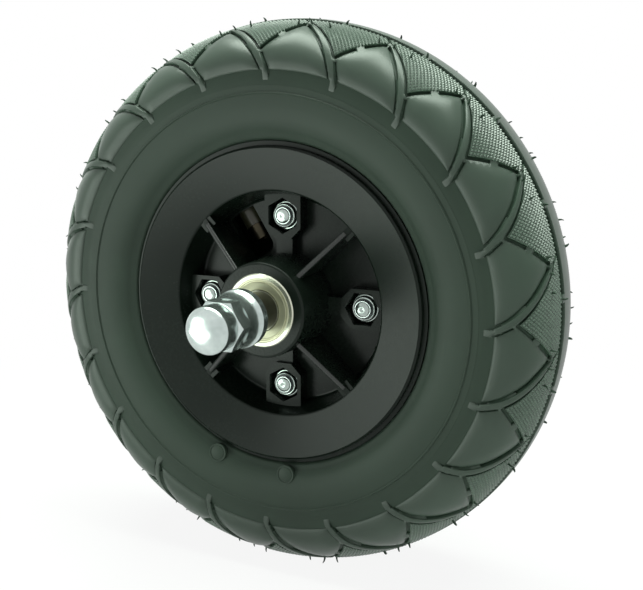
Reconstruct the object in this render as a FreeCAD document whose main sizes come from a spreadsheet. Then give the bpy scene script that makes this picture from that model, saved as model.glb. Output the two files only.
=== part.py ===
import FreeCAD, Part
import os
import re
import Sketcher

# A small pneumatic wheel on a fixed axle: an 8 x 2 inch tyre on a two-piece
# moulded rim that turns on two ball bearings.
# Frame: the origin is the wheel's centre, the axle lies along Y, +Z is up and
# the side with the clamp nuts and the valve window faces -Y.
# In the notes, "out" is the distance from the wheel's mid plane, along the axle.

SIZES = [
    # tyre
    ("tyreRadius", 100.0, "crown of the tyre"),
    ("tyreHalfWidth", 25.0, "mid plane to the widest part of the sidewall"),
    ("shoulderDepth", 18.0, "crown down to the widest part of the sidewall"),
    ("crownThickness", 6.4, "rubber under the tread"),
    ("sidewallThickness", 4.7, "rubber at the widest part of the sidewall"),
    ("beadHeight", 3.0, "bead's seat up to the air space"),
    ("beadWidth", 5.7, "bead, along the axle"),
    ("ridgeDrop", 26.0, "crown down to the raised ring of the sidewall"),
    ("ridgeHeight", 0.5, "raised ring of the sidewall"),
    ("treadHalfWidth", 5.2, "smooth rib round the crown, half its width"),
    ("grooveDepth", 1.6, "groove beside the crown rib"),
    ("grooveWidth", 2.0, "groove beside the crown rib"),
    ("treadPitches", 20, "tread blocks round the tyre"),
    ("blockGrooveWidth", 2.2, "groove between two shoulder blocks"),
    ("blockGrooveDepth", 1.8, "groove between two shoulder blocks"),
    ("blockGrooveLean", 24.0, "lean of that groove, in degrees"),
    ("spewHeight", 2.0, "moulding vent hair on the crown"),
    ("spewRadius", 0.45, "moulding vent hair"),
    # inner tube and valve
    ("tubeWall", 1.6, "inner tube's rubber"),
    ("tubeClearance", 0.2, "between the inner tube and the tyre"),
    ("valveAngle", 122.5, "direction of the valve, in degrees from +X to +Z"),
    ("stemRadius", 4.2, "rubber over the valve stem"),
    ("stemFootRadius", 7.0, "foot of the stem on the inner tube"),
    ("stemFootHeight", 1.4, "foot of the stem on the inner tube"),
    ("stemFootRise", 2.0, "stem's foot past the tube's lowest line, before it is shaped to it"),
    ("stemEnd", 31.0, "axle to the end of the rubber"),
    ("valveTip", 25.3, "axle to the tip of the valve"),
    ("valveThreadRadius", 3.85, "valve thread, 7.7 mm across"),
    ("valveNeckRadius", 2.9, "metal tube inside the rubber"),
    ("valveBoreRadius", 1.4, "air passage"),
    ("coreRadius", 2.2, "valve core"),
    ("coreLength", 8.0, "valve core"),
    ("valvePinRadius", 0.7, "pin that opens the valve"),
    ("valvePinTravel", 1.0, "pin that opens the valve"),
    ("fitGap", 0.05, "radial gap of pieces that fit into each other"),
    # rim halves
    ("rimHalfWidth", 16.5, "mid plane to the tyre's seat on the flange"),
    ("beadSeatRadius", 50.0, "seat of the tyre's bead"),
    ("beadGap", 0.3, "between the bead and the rim"),
    ("barrelRadius", 43.5, "outside of the rim's well"),
    ("flangeRadius", 56.4, "outer edge of the flange's face"),
    ("flangeOut", 21.5, "that edge, out"),
    ("lipRadius", 58.0, "lip behind the flange's face"),
    ("lipOut", 19.2, "front of the lip, out"),
    ("openingRadius", 40.7, "edge of the recess in the flange"),
    ("openingOut", 17.5, "that edge, out"),
    ("floorRadius", 37.8, "foot of the recess wall"),
    ("frontFloorOut", 6.0, "floor of the front recess, out"),
    ("rearFloorOut", 10.0, "floor of the rear recess, out"),
    ("webThickness", 3.2, "web between the hub and the rim"),
    ("edgeRadius", 1.0, "rounded edges of the mouldings"),
    ("hubRadius", 17.0, "hub boss"),
    ("hubOut", 28.5, "end of the hub boss, out"),
    ("hubBoreRadius", 11.0, "bore between the bearings"),
    ("ribThickness", 1.9, "radial rib"),
    ("ribHubOut", 24.0, "crest of the rib at the hub, out"),
    ("ribRimOut", 17.3, "crest of the rib at the rim, out"),
    ("ribFootWidth", 5.2, "block at the rib's outer end"),
    ("ribFootLength", 2.8, "block at the rib's outer end"),
    ("rootDepth", 2.8, "ribs and pads into the rim's wall"),
    ("padWidth", 14.3, "pad round each clamp screw"),
    ("padEnd", 23.0, "inner end of the pad, from the axle"),
    ("padCorner", 4.0, "cut corner of the pad"),
    ("neckWidth", 6.4, "neck between the pad and the hub"),
    ("neckDrop", 1.5, "neck below the pad's face"),
    ("frontPadOut", 11.5, "face of the front pad, out"),
    ("windowWidth", 11.1, "window in the front web at the valve"),
    ("windowEnd", 18.9, "axle to the window's inner end"),
    ("windowCorner", 3.3, "rounded inner corners of the window"),
    ("valveHoleGap", 0.4, "radial gap of the stem in the rim"),
    # clamp screws, M6 x 20 with nylon insert nuts
    ("clampCircleRadius", 31.3, "axle to the clamp screws"),
    ("clampCount", 4, "clamp screws"),
    ("screwRadius", 3.0, "M6 thread"),
    ("screwLength", 20.0, "under the head"),
    ("screwTipOut", 11.3, "tip of the screw, out"),
    ("screwHeadRadius", 5.0, "M6 socket head"),
    ("screwHeadHeight", 6.0, "M6 socket head"),
    ("socketWidth", 5.0, "hexagon socket across flats"),
    ("socketDepth", 3.0, "hexagon socket"),
    ("screwHoleGap", 0.2, "radial gap of the screw in the rim"),
    ("washerRadius", 6.0, "M6 washer"),
    ("washerThickness", 1.6, "M6 washer"),
    ("counterboreGap", 0.4, "radial gap round the washer"),
    ("nutWidth", 10.0, "M6 nut across flats"),
    ("nutHexHeight", 4.2, "hexagon of the nut"),
    ("nutHeight", 6.0, "whole nut"),
    ("nutCollarRadius", 4.4, "collar over the nylon insert"),
    ("nutSeatOut", 4.5, "seat of the nut in its pocket, out"),
    ("nutPocketWidth", 11.4, "pocket across flats"),
    ("insertRadius", 3.75, "nylon insert"),
    ("insertHeight", 1.3, "nylon insert"),
    # bearings, 6000-2Z: 10 x 26 x 8
    ("bearingOut", 28.9, "outer face of the bearing, out"),
    ("bearingWidth", 8.0, "bearing"),
    ("bearingRadius", 13.0, "outer ring"),
    ("bearingSeatGap", 0.02, "radial gap of the outer ring in the hub"),
    ("bearingChamfer", 0.4, "outer ring"),
    ("outerLandRadius", 10.7, "inside of the outer ring"),
    ("innerLandRadius", 7.15, "outside of the inner ring"),
    ("ballCircleRadius", 9.0, "centres of the balls"),
    ("ballRadius", 2.38, "3/16 inch ball"),
    ("ballCount", 7, "balls in each bearing"),
    ("raceGap", 0.1, "between the balls and the grooves of the rings"),
    ("cageInnerRadius", 8.3, "ball cage"),
    ("cageOuterRadius", 9.7, "ball cage"),
    ("cageHalfWidth", 2.9, "ball cage"),
    ("cageGap", 0.07, "between a ball and its pocket in the cage"),
    ("shieldRadius", 11.35, "shield"),
    ("shieldThickness", 0.4, "shield"),
    ("shieldDepth", 0.3, "shield below the bearing's face"),
    ("shieldGap", 0.2, "between the shield and the inner ring"),
    # axle, M10
    ("axleRadius", 5.0, "M10 axle"),
    ("axleEngagement", 17.5, "axle inside the cap nut"),
    ("axleChamfer", 0.8, "end of the axle"),
    ("axleEndGap", 0.5, "axle's end to the bottom of the cap nut"),
    ("spacerRadius", 6.9, "tube between the inner rings"),
    ("sleeveRadius", 7.0, "sleeve between the bearing and the washer"),
    ("sleeveLength", 12.1, "sleeve between the bearing and the washer"),
    ("axleWasherRadius", 10.0, "M10 washer"),
    ("axleWasherThickness", 2.0, "M10 washer"),
    ("axleWasherGap", 0.25, "radial gap of the washer on the axle"),
    ("collarHeight", 7.3, "flared collar of the cap nut"),
    ("collarRadius", 10.0, "wide end of that collar"),
    ("collarNeckRadius", 9.0, "narrow end of that collar"),
    ("collarRim", 0.8, "straight rim at the wide end"),
    ("capNutWidth", 16.0, "cap nut across flats"),
    ("capNutTurn", 30.0, "turn of its hexagon from a corner pointing up, in degrees"),
    ("capHexHeight", 6.0, "hexagon of the cap nut"),
    ("domeRadius", 7.9, "dome of the cap nut"),
    ("domeSide", 4.2, "straight side of the dome"),
    ("domeHeight", 5.0, "round end of the dome"),
]
ALIASES = {row[0] for row in SIZES}
WASHER_END = "(bearingOut + sleeveLength + axleWasherThickness)"
AXLE_END = f"({WASHER_END} + axleEngagement)"


def bound(text):
    """Makes an expression of the sheet's aliases readable for any object."""
    return re.sub(
        r"[A-Za-z]\w*",
        lambda word: "Sizes." + word.group() if word.group() in ALIASES else word.group(),
        text,
    )


doc = FreeCAD.newDocument("Wheel")
sheet = doc.addObject("Spreadsheet::Sheet", "Sizes")
for line, (alias, value, note) in enumerate(SIZES, start=1):
    sheet.set(f"A{line}", note)
    sheet.set(f"B{line}", str(value))
    sheet.setAlias(f"B{line}", alias)
doc.recompute()


def value(text):
    """The present value of an expression of the sheet's aliases."""
    result = sheet.evalExpression(text)
    return getattr(result, "Value", result)


def bind(thing, path, text):
    thing.setExpression(path, bound(text))


# ---- bodies, sketches and features -----------------------------------------

parts = []


def newBody(label):
    body = doc.addObject("PartDesign::Body", label)
    body.Label = label
    parts.append(body)
    return body


def originFeature(body, role):
    for feature in body.Origin.OriginFeatures:
        if feature.Role == role:
            return feature
    raise ValueError("no origin feature " + role)


def addSketch(body, name, role, lift=None, turnAxis=None, turn=None):
    """A sketch on an origin plane, lifted along its normal or turned about an axis of its own."""
    sketch = body.newObject("Sketcher::SketchObject", body.Label + "_" + name)
    sketch.AttachmentSupport = (originFeature(body, role), "")
    sketch.MapMode = "FlatFace"
    if turn:
        sketch.AttachmentOffset = FreeCAD.Placement(
            FreeCAD.Vector(), FreeCAD.Rotation(FreeCAD.Vector(*turnAxis), value(turn))
        )
        bind(sketch, "AttachmentOffset.Rotation.Angle", turn)
    if lift:
        bind(sketch, "AttachmentOffset.Base.z", lift)
    return sketch


def pinPoint(sketch, geometry, position, x, y):
    """Holds a point at (x, y), both given as expressions."""
    for kind, text in (("DistanceX", x), ("DistanceY", y)):
        datum = Sketcher.Constraint(kind, -1, 1, geometry, position, value(text))
        bind(sketch, f"Constraints[{sketch.addConstraint(datum)}]", text)


def drawProfile(sketch, steps):
    """Closed outline. A step (x, y) is a straight run to that corner, and a
    step (viaX, viaY, x, y) is an arc to it through the via point."""
    corners = [FreeCAD.Vector(value(step[-2]), value(step[-1]), 0) for step in steps]
    ends = []
    for index, step in enumerate(steps):
        start = corners[index - 1]
        end = corners[index]
        if len(step) == 2:
            edge = sketch.addGeometry(Part.LineSegment(start, end), False)
        else:
            via = FreeCAD.Vector(value(step[0]), value(step[1]), 0)
            edge = sketch.addGeometry(Part.Arc(start, via, end), False)
        first = sketch.getPoint(edge, 1)
        forward = first.distanceToPoint(start) < first.distanceToPoint(end)
        ends.append((edge, 1 if forward else 2, 2 if forward else 1))
    for index, step in enumerate(steps):
        edge, startPoint, endPoint = ends[index]
        following, nextStart, nextEnd = ends[(index + 1) % len(steps)]
        sketch.addConstraint(
            Sketcher.Constraint("Coincident", edge, endPoint, following, nextStart)
        )
        pinPoint(sketch, edge, endPoint, step[-2], step[-1])
        if len(step) == 4:
            via = FreeCAD.Vector(value(step[0]), value(step[1]), 0)
            mark = sketch.addGeometry(Part.Point(via), True)
            sketch.addConstraint(Sketcher.Constraint("PointOnObject", mark, 1, edge))
            pinPoint(sketch, mark, 1, step[0], step[1])


def drawCircle(sketch, radius, x="0", y="0"):
    centre = FreeCAD.Vector(value(x), value(y), 0)
    circle = sketch.addGeometry(
        Part.Circle(centre, FreeCAD.Vector(0, 0, 1), value(radius)), False
    )
    datum = Sketcher.Constraint("Radius", circle, value(radius))
    bind(sketch, f"Constraints[{sketch.addConstraint(datum)}]", radius)
    pinPoint(sketch, circle, 3, x, y)


def drawHexagon(sketch, width, y="0", turn="0"):
    """Regular hexagon about (0, y), its first corner turned so many degrees from straight up."""
    reach = f"({width}) / 2 / cos(30 deg)"
    corners = [f"({turn} + {60 * corner}) * 1 deg" for corner in range(6)]
    drawProfile(
        sketch,
        [(f"{reach} * sin({angle})", f"{y} + {reach} * cos({angle})") for angle in corners],
    )


def drawRectangle(sketch, left, low, right, high):
    drawProfile(sketch, [(left, low), (right, low), (right, high), (left, high)])


def checkCut(body, feature, before):
    """A cut that removes nothing is a mistake in its direction."""
    doc.recompute()
    if feature.Shape.isNull() or not feature.Shape.Volume < before - 1e-6:
        raise RuntimeError(f"{feature.Name} cuts nothing")


def turned(body, name, steps, cut=False, circle=None, upright=False):
    """Turns an outline (radius, place along Y) about the Y axis, or (radius,
    height) about the Z axis for an upright piece, as added or removed material."""
    before = body.Shape.Volume if cut else 0
    sketch = addSketch(body, name + "Outline", "XZ_Plane" if upright else "XY_Plane")
    if circle:
        drawCircle(sketch, *circle)
    else:
        drawProfile(sketch, steps)
    kind = "PartDesign::Groove" if cut else "PartDesign::Revolution"
    feature = body.newObject(kind, body.Label + "_" + name)
    feature.Profile = sketch
    feature.ReferenceAxis = (sketch, ["V_Axis"])
    feature.Angle = 360
    body.Tip = feature
    if cut:
        checkCut(body, feature, before)
    else:
        doc.recompute()
    return feature


def padded(body, name, sketch, height, symmetric=False):
    """Adds material on the side that the sketch's normal points to."""
    feature = body.newObject("PartDesign::Pad", body.Label + "_" + name)
    feature.Profile = sketch
    bind(feature, "Length", height)
    if symmetric:
        feature.SideType = "Symmetric"
    body.Tip = feature
    doc.recompute()
    return feature


def pocketed(body, name, sketch, depth, symmetric=False):
    """Removes material behind the sketch, against its normal."""
    before = body.Shape.Volume
    feature = body.newObject("PartDesign::Pocket", body.Label + "_" + name)
    feature.Profile = sketch
    bind(feature, "Length", depth)
    if symmetric:
        feature.SideType = "Symmetric"
    body.Tip = feature
    checkCut(body, feature, before)
    return feature


def repeated(body, name, features, count, whole=False):
    """Repeats features, or the whole body, round the axle."""
    pattern = body.newObject("PartDesign::PolarPattern", body.Label + "_" + name)
    if whole:
        pattern.TransformMode = "Whole shape"
    else:
        pattern.Originals = features
    pattern.Axis = (originFeature(body, "Y_Axis"), [""])
    pattern.Angle = 360
    bind(pattern, "Occurrences", count)
    body.Tip = pattern
    doc.recompute()
    return pattern


def roundedRings(body, name, radius, rings):
    """Rounds the full circular edges at the given (radius, out) places."""
    doc.recompute()
    wanted = [(value(ring), value(out)) for ring, out in rings]
    base = body.Tip
    names = []
    found = set()
    for number, edge in enumerate(base.Shape.Edges, start=1):
        curve = edge.Curve
        if not isinstance(curve, Part.Circle) or abs(abs(curve.Axis.y) - 1) > 1e-6:
            continue
        for ring, out in wanted:
            if abs(curve.Radius - ring) < 1e-3 and abs(-curve.Center.y - out) < 1e-3:
                names.append(f"Edge{number}")
                found.add((ring, out))
    missing = set(wanted) - found
    if missing:
        raise RuntimeError(f"{body.Label}: no edge to round at {sorted(missing)}")
    feature = body.newObject("PartDesign::Fillet", body.Label + "_" + name)
    feature.Base = (base, names)
    bind(feature, "Radius", radius)
    body.Tip = feature
    doc.recompute()


def turnToRear(body):
    """A piece is drawn on the front side, and half a turn about Z takes it to the rear."""
    body.Placement = FreeCAD.Placement(
        FreeCAD.Vector(), FreeCAD.Rotation(FreeCAD.Vector(0, 0, 1), 180)
    )


def aimAtValve(body):
    """A valve piece is drawn upright, and leans from +Z towards -X to the valve's direction."""
    body.Placement = FreeCAD.Placement(
        FreeCAD.Vector(), FreeCAD.Rotation(FreeCAD.Vector(0, -1, 0), value("valveAngle") - 90)
    )
    bind(body, "Placement.Rotation.Angle", "valveAngle - 90")


# ---- tyre, inner tube and valve --------------------------------------------

def mirrored(steps):
    """The other half of an outline that starts at the front and crosses the mid plane."""
    return [tuple(f"-({number})" if place % 2 else number for place, number in enumerate(step))
            for step in steps]


def shoulderPoint(angle):
    """A point of the tyre's oval section, with 90 at its widest and 0 at the crown."""
    return (
        f"tyreRadius - shoulderDepth * (1 - cos({angle} deg))",
        f"tyreHalfWidth * sin({angle} deg)",
    )


def airSpace(inset):
    """Outline of the space inside the tyre's beads, sides and crown, made smaller all round."""
    low = f"(beadSeatRadius + beadHeight + {inset})"
    high = f"(tyreRadius - crownThickness - ({inset}))"
    middle = f"({low} + {high}) / 2"
    half = f"({high} - {low}) / 2"
    width = f"(tyreHalfWidth - sidewallThickness - ({inset}))"
    diagonal = "cos(45 deg)"
    near = f"{middle} - {half} * {diagonal}"
    far = f"{middle} + {half} * {diagonal}"
    return [
        (near, f"{width} * {diagonal}", middle, width),
        (far, f"{width} * {diagonal}", high, "0"),
        (far, f"-({width}) * {diagonal}", middle, f"-({width})"),
        (near, f"-({width}) * {diagonal}", low, "0"),
    ]


def makeTyre():
    body = newBody("tyre")
    ridge = "tyreRadius - ridgeDrop"
    heel = "rimHalfWidth - beadGap"
    flank = [
        ("beadSeatRadius + beadGap", heel),
        ("lipRadius - beadGap", heel),
        ("lipRadius + 2 * beadGap", f"{heel} + 1"),
        ("lipRadius + 1.6", "lipOut + 1"),
        ("lipRadius + 3.6", "tyreHalfWidth - 3.4"),
        ("lipRadius + 8", "tyreHalfWidth - 1.6"),
        (f"{ridge} - 1", "tyreHalfWidth - ridgeHeight"),
        (f"{ridge} - 0.4", "tyreHalfWidth - 0.05"),
        (f"{ridge} + 0.4", "tyreHalfWidth - 0.05"),
        (f"{ridge} + 1", "tyreHalfWidth - ridgeHeight"),
        shoulderPoint(90),
    ]
    middle = shoulderPoint(30)
    turned(
        body,
        "Section",
        mirrored(flank)
        + mirrored([shoulderPoint(60) + middle])
        + [("tyreRadius", "0") + middle]
        + [shoulderPoint(60) + flank[-1]]
        + flank[-2::-1],
    )
    turned(body, "Cavity", airSpace("0"), cut=True)
    toe = "rimHalfWidth - beadGap - beadWidth"
    mouthEnd = "(beadSeatRadius + beadHeight + tyreRadius - crownThickness) / 2"
    mouth = [
        ("barrelRadius", f"-({toe})"),
        (mouthEnd, f"-({toe})"),
        (mouthEnd, toe),
        ("barrelRadius", toe),
    ]
    turned(body, "Mouth", mouth, cut=True)
    groove = [
        ("tyreRadius - grooveDepth", "treadHalfWidth"),
        ("tyreRadius - grooveDepth", "treadHalfWidth + grooveWidth"),
        ("tyreRadius + 1", "treadHalfWidth + grooveWidth"),
        ("tyreRadius + 1", "treadHalfWidth"),
    ]
    turned(body, "FrontCrownGroove", mirrored(groove), cut=True)
    turned(body, "RearCrownGroove", groove, cut=True)
    cutBlockGrooves(body)
    addSpews(body)


def cutBlockGrooves(body):
    """Leaning grooves over both shoulders, deepest halfway, that part the tread blocks."""
    start, deepest, end = shoulderPoint(20), shoulderPoint(52), shoulderPoint(84)
    stretch = "/ cos(blockGrooveLean * 1 deg)"
    for name, side in (("Front", -1), ("Rear", 1)):
        sketch = addSketch(
            body,
            name + "BlockGrooveOutline",
            "YZ_Plane",
            turnAxis=(0, 1, 0),
            turn="blockGrooveLean",
        )
        drawProfile(
            sketch,
            [
                (f"{side} * ({start[1]}) {stretch}", start[0]),
                (
                    f"{side} * ({deepest[1]} - 0.7 * blockGrooveDepth) {stretch}",
                    f"{deepest[0]} - 0.7 * blockGrooveDepth",
                    f"{side} * ({end[1]}) {stretch}",
                    end[0],
                ),
                (f"{side} * (tyreHalfWidth + 5) {stretch}", end[0]),
                (f"{side} * (tyreHalfWidth + 5) {stretch}", "tyreRadius + 3"),
                (f"{side} * ({start[1]}) {stretch}", "tyreRadius + 3"),
            ],
        )
        groove = pocketed(body, name + "BlockGroove", sketch, "blockGrooveWidth", symmetric=True)
        repeated(body, name + "BlockGrooves", [groove], "treadPitches")


def addSpews(body):
    sketch = addSketch(body, "SpewOutline", "XY_Plane", lift="tyreRadius - grooveDepth")
    drawCircle(sketch, "spewRadius")
    spew = padded(body, "Spew", sketch, "grooveDepth + spewHeight")
    repeated(body, "Spews", [spew], "treadPitches")


def makeInnerTube():
    body = newBody("inner_tube")
    turned(body, "Section", airSpace("tubeClearance"))
    turned(body, "Air", airSpace("tubeClearance + tubeWall"), cut=True)


def makeValve():
    tubeBottom = "beadSeatRadius + beadHeight + tubeClearance"
    stemTop = f"{tubeBottom} + stemFootRise"
    neckTop = f"{tubeBottom} - fitGap - 1"
    neckHole = "valveNeckRadius + fitGap"
    coreEnd = "valveTip + 1 + coreLength"

    stem = newBody("valve_stem")
    turned(
        stem,
        "Section",
        [
            (neckHole, "stemEnd"),
            ("stemRadius", "stemEnd"),
            ("stemRadius", f"{tubeBottom} - stemFootHeight"),
            ("stemFootRadius", f"{tubeBottom} - stemFootHeight / 3"),
            ("stemFootRadius", stemTop),
            (neckHole, stemTop),
        ],
        upright=True,
    )
    turned(stem, "Saddle", airSpace("tubeClearance - fitGap"), cut=True)

    barrel = newBody("valve_barrel")
    coreHole = "coreRadius + fitGap"
    turned(
        barrel,
        "Section",
        [
            (coreHole, "valveTip"),
            ("valveThreadRadius", "valveTip"),
            ("valveThreadRadius", "stemEnd - fitGap"),
            ("valveNeckRadius", "stemEnd - fitGap"),
            ("valveNeckRadius", neckTop),
            ("valveBoreRadius", neckTop),
            ("valveBoreRadius", f"{coreEnd} + fitGap"),
            (coreHole, f"{coreEnd} + fitGap"),
        ],
        upright=True,
    )

    core = newBody("valve_core")
    pinHole = "valvePinRadius + fitGap"
    turned(
        core,
        "Section",
        [
            (pinHole, "valveTip + 1"),
            ("coreRadius", "valveTip + 1"),
            ("coreRadius", coreEnd),
            (pinHole, coreEnd),
        ],
        upright=True,
    )

    pin = newBody("valve_pin")
    turned(
        pin,
        "Section",
        [
            ("0", "valveTip + 0.2"),
            ("valvePinRadius", "valveTip + 0.2"),
            ("valvePinRadius", f"{coreEnd} + 2 * valvePinTravel"),
            ("0", f"{coreEnd} + 2 * valvePinTravel"),
        ],
        upright=True,
    )
    for body in (stem, barrel, core, pin):
        aimAtValve(body)


# ---- rim halves ------------------------------------------------------------

def makeRimHalf(label, floorOut, padOut):
    """The moulding with its flange, web, hub, ribs and pads, without its seats for the screws."""
    body = newBody(label)
    pocketRadius = "bearingRadius + bearingSeatGap"
    pocketOut = "bearingOut - bearingWidth"
    turned(
        body,
        "Section",
        mirrored(
            [
                ("hubBoreRadius", "0"),
                ("hubBoreRadius", pocketOut),
                (pocketRadius, pocketOut),
                (pocketRadius, "hubOut"),
                ("hubRadius", "hubOut"),
                ("hubRadius + 0.8", floorOut),
                ("floorRadius", floorOut),
                ("openingRadius", "openingOut"),
                ("flangeRadius - 0.8", "flangeOut"),
                ("flangeRadius", "flangeOut - 0.7"),
                ("flangeRadius + 0.2", "lipOut"),
                ("lipRadius", "lipOut"),
                ("lipRadius", "rimHalfWidth + 1"),
                ("lipRadius - 1", "rimHalfWidth"),
                ("beadSeatRadius", "rimHalfWidth"),
                ("beadSeatRadius", "rimHalfWidth - beadWidth"),
                ("barrelRadius", "rimHalfWidth - 1.5 * beadWidth"),
                ("barrelRadius", "0"),
                ("floorRadius", "0"),
                ("floorRadius", f"{floorOut} - webThickness"),
                ("hubRadius", f"{floorOut} - webThickness"),
                ("hubRadius", "0"),
            ]
        ),
    )
    roundedRings(
        body,
        "Edges",
        "edgeRadius",
        [("openingRadius", "openingOut"), ("floorRadius", floorOut), ("hubRadius", "hubOut")],
    )
    addRibs(body, floorOut)
    addPads(body, padOut)
    cutValveHole(body)
    return body


def addRibs(body, floorOut):
    """Four radial ribs, halfway between the pads, each with a block at the rim."""
    inside = "(hubBoreRadius + hubRadius) / 2"
    outside = "openingRadius + rootDepth / 2"
    low = f"{floorOut} - webThickness / 2"
    sketch = addSketch(body, "RibOutline", "XY_Plane", turnAxis=(0, 1, 0), turn="180 / clampCount")
    drawProfile(
        sketch,
        mirrored(
            [(inside, low), (inside, "ribHubOut"), (outside, "ribRimOut"), (outside, low)]
        ),
    )
    rib = padded(body, "Rib", sketch, "ribThickness", symmetric=True)
    foot = addSketch(
        body, "RibFootOutline", "XZ_Plane", turnAxis=(0, 0, 1), turn="180 / clampCount", lift=low
    )
    drawRectangle(
        foot,
        "-ribFootWidth / 2",
        "floorRadius + 2 - ribFootLength",
        "ribFootWidth / 2",
        outside,
    )
    block = padded(body, "RibFoot", foot, f"ribRimOut - ({low})")
    repeated(body, "Ribs", [rib, block], "clampCount")


def addPads(body, padOut):
    """A pad for each clamp screw, from the mid plane out, with a lower neck to the hub."""
    outline = addSketch(body, "PadOutline", "XZ_Plane")
    rim = "floorRadius + rootDepth"
    drawProfile(
        outline,
        [
            ("padWidth / 2", rim),
            ("-padWidth / 2", rim),
            ("-padWidth / 2", "padEnd + padCorner"),
            ("padCorner - padWidth / 2", "padEnd"),
            ("padWidth / 2 - padCorner", "padEnd"),
            ("padWidth / 2", "padEnd + padCorner"),
        ],
    )
    pad = padded(body, "Pad", outline, padOut)
    neckOutline = addSketch(body, "NeckOutline", "XZ_Plane")
    drawRectangle(
        neckOutline,
        "-neckWidth / 2",
        "(hubBoreRadius + hubRadius) / 2",
        "neckWidth / 2",
        "padEnd + 1",
    )
    neck = padded(body, "Neck", neckOutline, f"{padOut} - neckDrop")
    repeated(body, "Pads", [pad, neck], "clampCount")


def cutValveHole(body):
    """The valve stem passes between the two halves, so each has half of its hole."""
    before = body.Shape.Volume
    hole = body.newObject("PartDesign::SubtractiveCylinder", body.Label + "_ValveHole")
    start = "floorRadius - 4"
    hole.Placement = FreeCAD.Placement(
        FreeCAD.Vector(), FreeCAD.Rotation(FreeCAD.Vector(0, -1, 0), value("valveAngle") - 90)
    )
    side = -1 if body.Label.endswith("front") else 1
    bind(hole, "Placement.Rotation.Angle", f"{-side} * (valveAngle - 90)")
    bind(hole, "Placement.Base.x", f"{side} * ({start}) * sin((valveAngle - 90) * 1 deg)")
    bind(hole, "Placement.Base.z", f"({start}) * cos((valveAngle - 90) * 1 deg)")
    bind(hole, "Radius", "stemRadius + valveHoleGap")
    bind(hole, "Height", "barrelRadius - floorRadius + 8")
    body.Tip = hole
    checkCut(body, hole, before)


def drillScrewHoles(body, padOut):
    sketch = addSketch(body, "ScrewHoleOutline", "XZ_Plane", lift=padOut)
    drawCircle(sketch, "screwRadius + screwHoleGap", "0", "clampCircleRadius")
    hole = pocketed(body, "ScrewHole", sketch, padOut)
    repeated(body, "ScrewHoles", [hole], "clampCount")


def makeFrontRimHalf():
    """The front half holds the nuts in hexagon pockets and is open at the valve."""
    body = makeRimHalf("rim_half_front", "frontFloorOut", "frontPadOut")
    drillScrewHoles(body, "frontPadOut")
    sketch = addSketch(body, "NutPocketOutline", "XZ_Plane", lift="frontPadOut")
    drawHexagon(sketch, "nutPocketWidth", "clampCircleRadius")
    nutPocket = pocketed(body, "NutPocket", sketch, "frontPadOut - nutSeatOut")
    repeated(body, "NutPockets", [nutPocket], "clampCount")
    window = addSketch(
        body,
        "WindowOutline",
        "XZ_Plane",
        turnAxis=(0, 0, 1),
        turn="valveAngle - 90",
        lift="frontFloorOut + 0.01",
    )
    side = "windowWidth / 2"
    reach = "windowCorner * (1 - cos(45 deg))"
    drawProfile(
        window,
        [
            (side, "floorRadius - 0.5"),
            (f"-({side})", "floorRadius - 0.5"),
            (f"-({side})", "windowEnd + windowCorner"),
            (f"-({side}) + {reach}", f"windowEnd + {reach}", f"windowCorner - {side}", "windowEnd"),
            (f"{side} - windowCorner", "windowEnd"),
            (f"{side} - {reach}", f"windowEnd + {reach}", side, "windowEnd + windowCorner"),
        ],
    )
    pocketed(body, "Window", window, "frontFloorOut")


def makeRearRimHalf():
    """The rear half takes the washers and screw heads in round seats, and its web is closed."""
    headOut = "screwLength - screwTipOut"
    padOut = f"{headOut} + screwHeadHeight"
    body = makeRimHalf("rim_half_rear", "rearFloorOut", padOut)
    drillScrewHoles(body, padOut)
    sketch = addSketch(body, "HeadSeatOutline", "XZ_Plane", lift=padOut)
    drawCircle(sketch, "washerRadius + counterboreGap", "0", "clampCircleRadius")
    seat = pocketed(body, "HeadSeat", sketch, "screwHeadHeight + washerThickness")
    repeated(body, "HeadSeats", [seat], "clampCount")
    turnToRear(body)


# ---- clamp screws ----------------------------------------------------------

def makeClampScrews():
    body = newBody("clamp_screws")
    headOut = "screwLength - screwTipOut"
    shank = addSketch(body, "ShankOutline", "XZ_Plane", lift=f"-({headOut})")
    drawCircle(shank, "screwRadius", "0", "clampCircleRadius")
    padded(body, "Shank", shank, "screwLength")
    head = addSketch(body, "HeadOutline", "XZ_Plane", lift=f"-({headOut} + screwHeadHeight)")
    drawCircle(head, "screwHeadRadius", "0", "clampCircleRadius")
    padded(body, "Head", head, "screwHeadHeight")
    socket = addSketch(
        body, "SocketOutline", "XZ_Plane", lift=f"socketDepth - ({headOut} + screwHeadHeight)"
    )
    drawHexagon(socket, "socketWidth", "clampCircleRadius")
    pocketed(body, "Socket", socket, "socketDepth")
    repeated(body, "Screws", None, "clampCount", whole=True)


def makeClampWashers():
    body = newBody("clamp_washers")
    sketch = addSketch(
        body,
        "Outline",
        "XZ_Plane",
        lift="-(screwLength - screwTipOut)",
    )
    drawCircle(sketch, "washerRadius", "0", "clampCircleRadius")
    drawCircle(sketch, "screwRadius + screwHoleGap", "0", "clampCircleRadius")
    padded(body, "Washer", sketch, "washerThickness")
    repeated(body, "Washers", None, "clampCount", whole=True)


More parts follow.
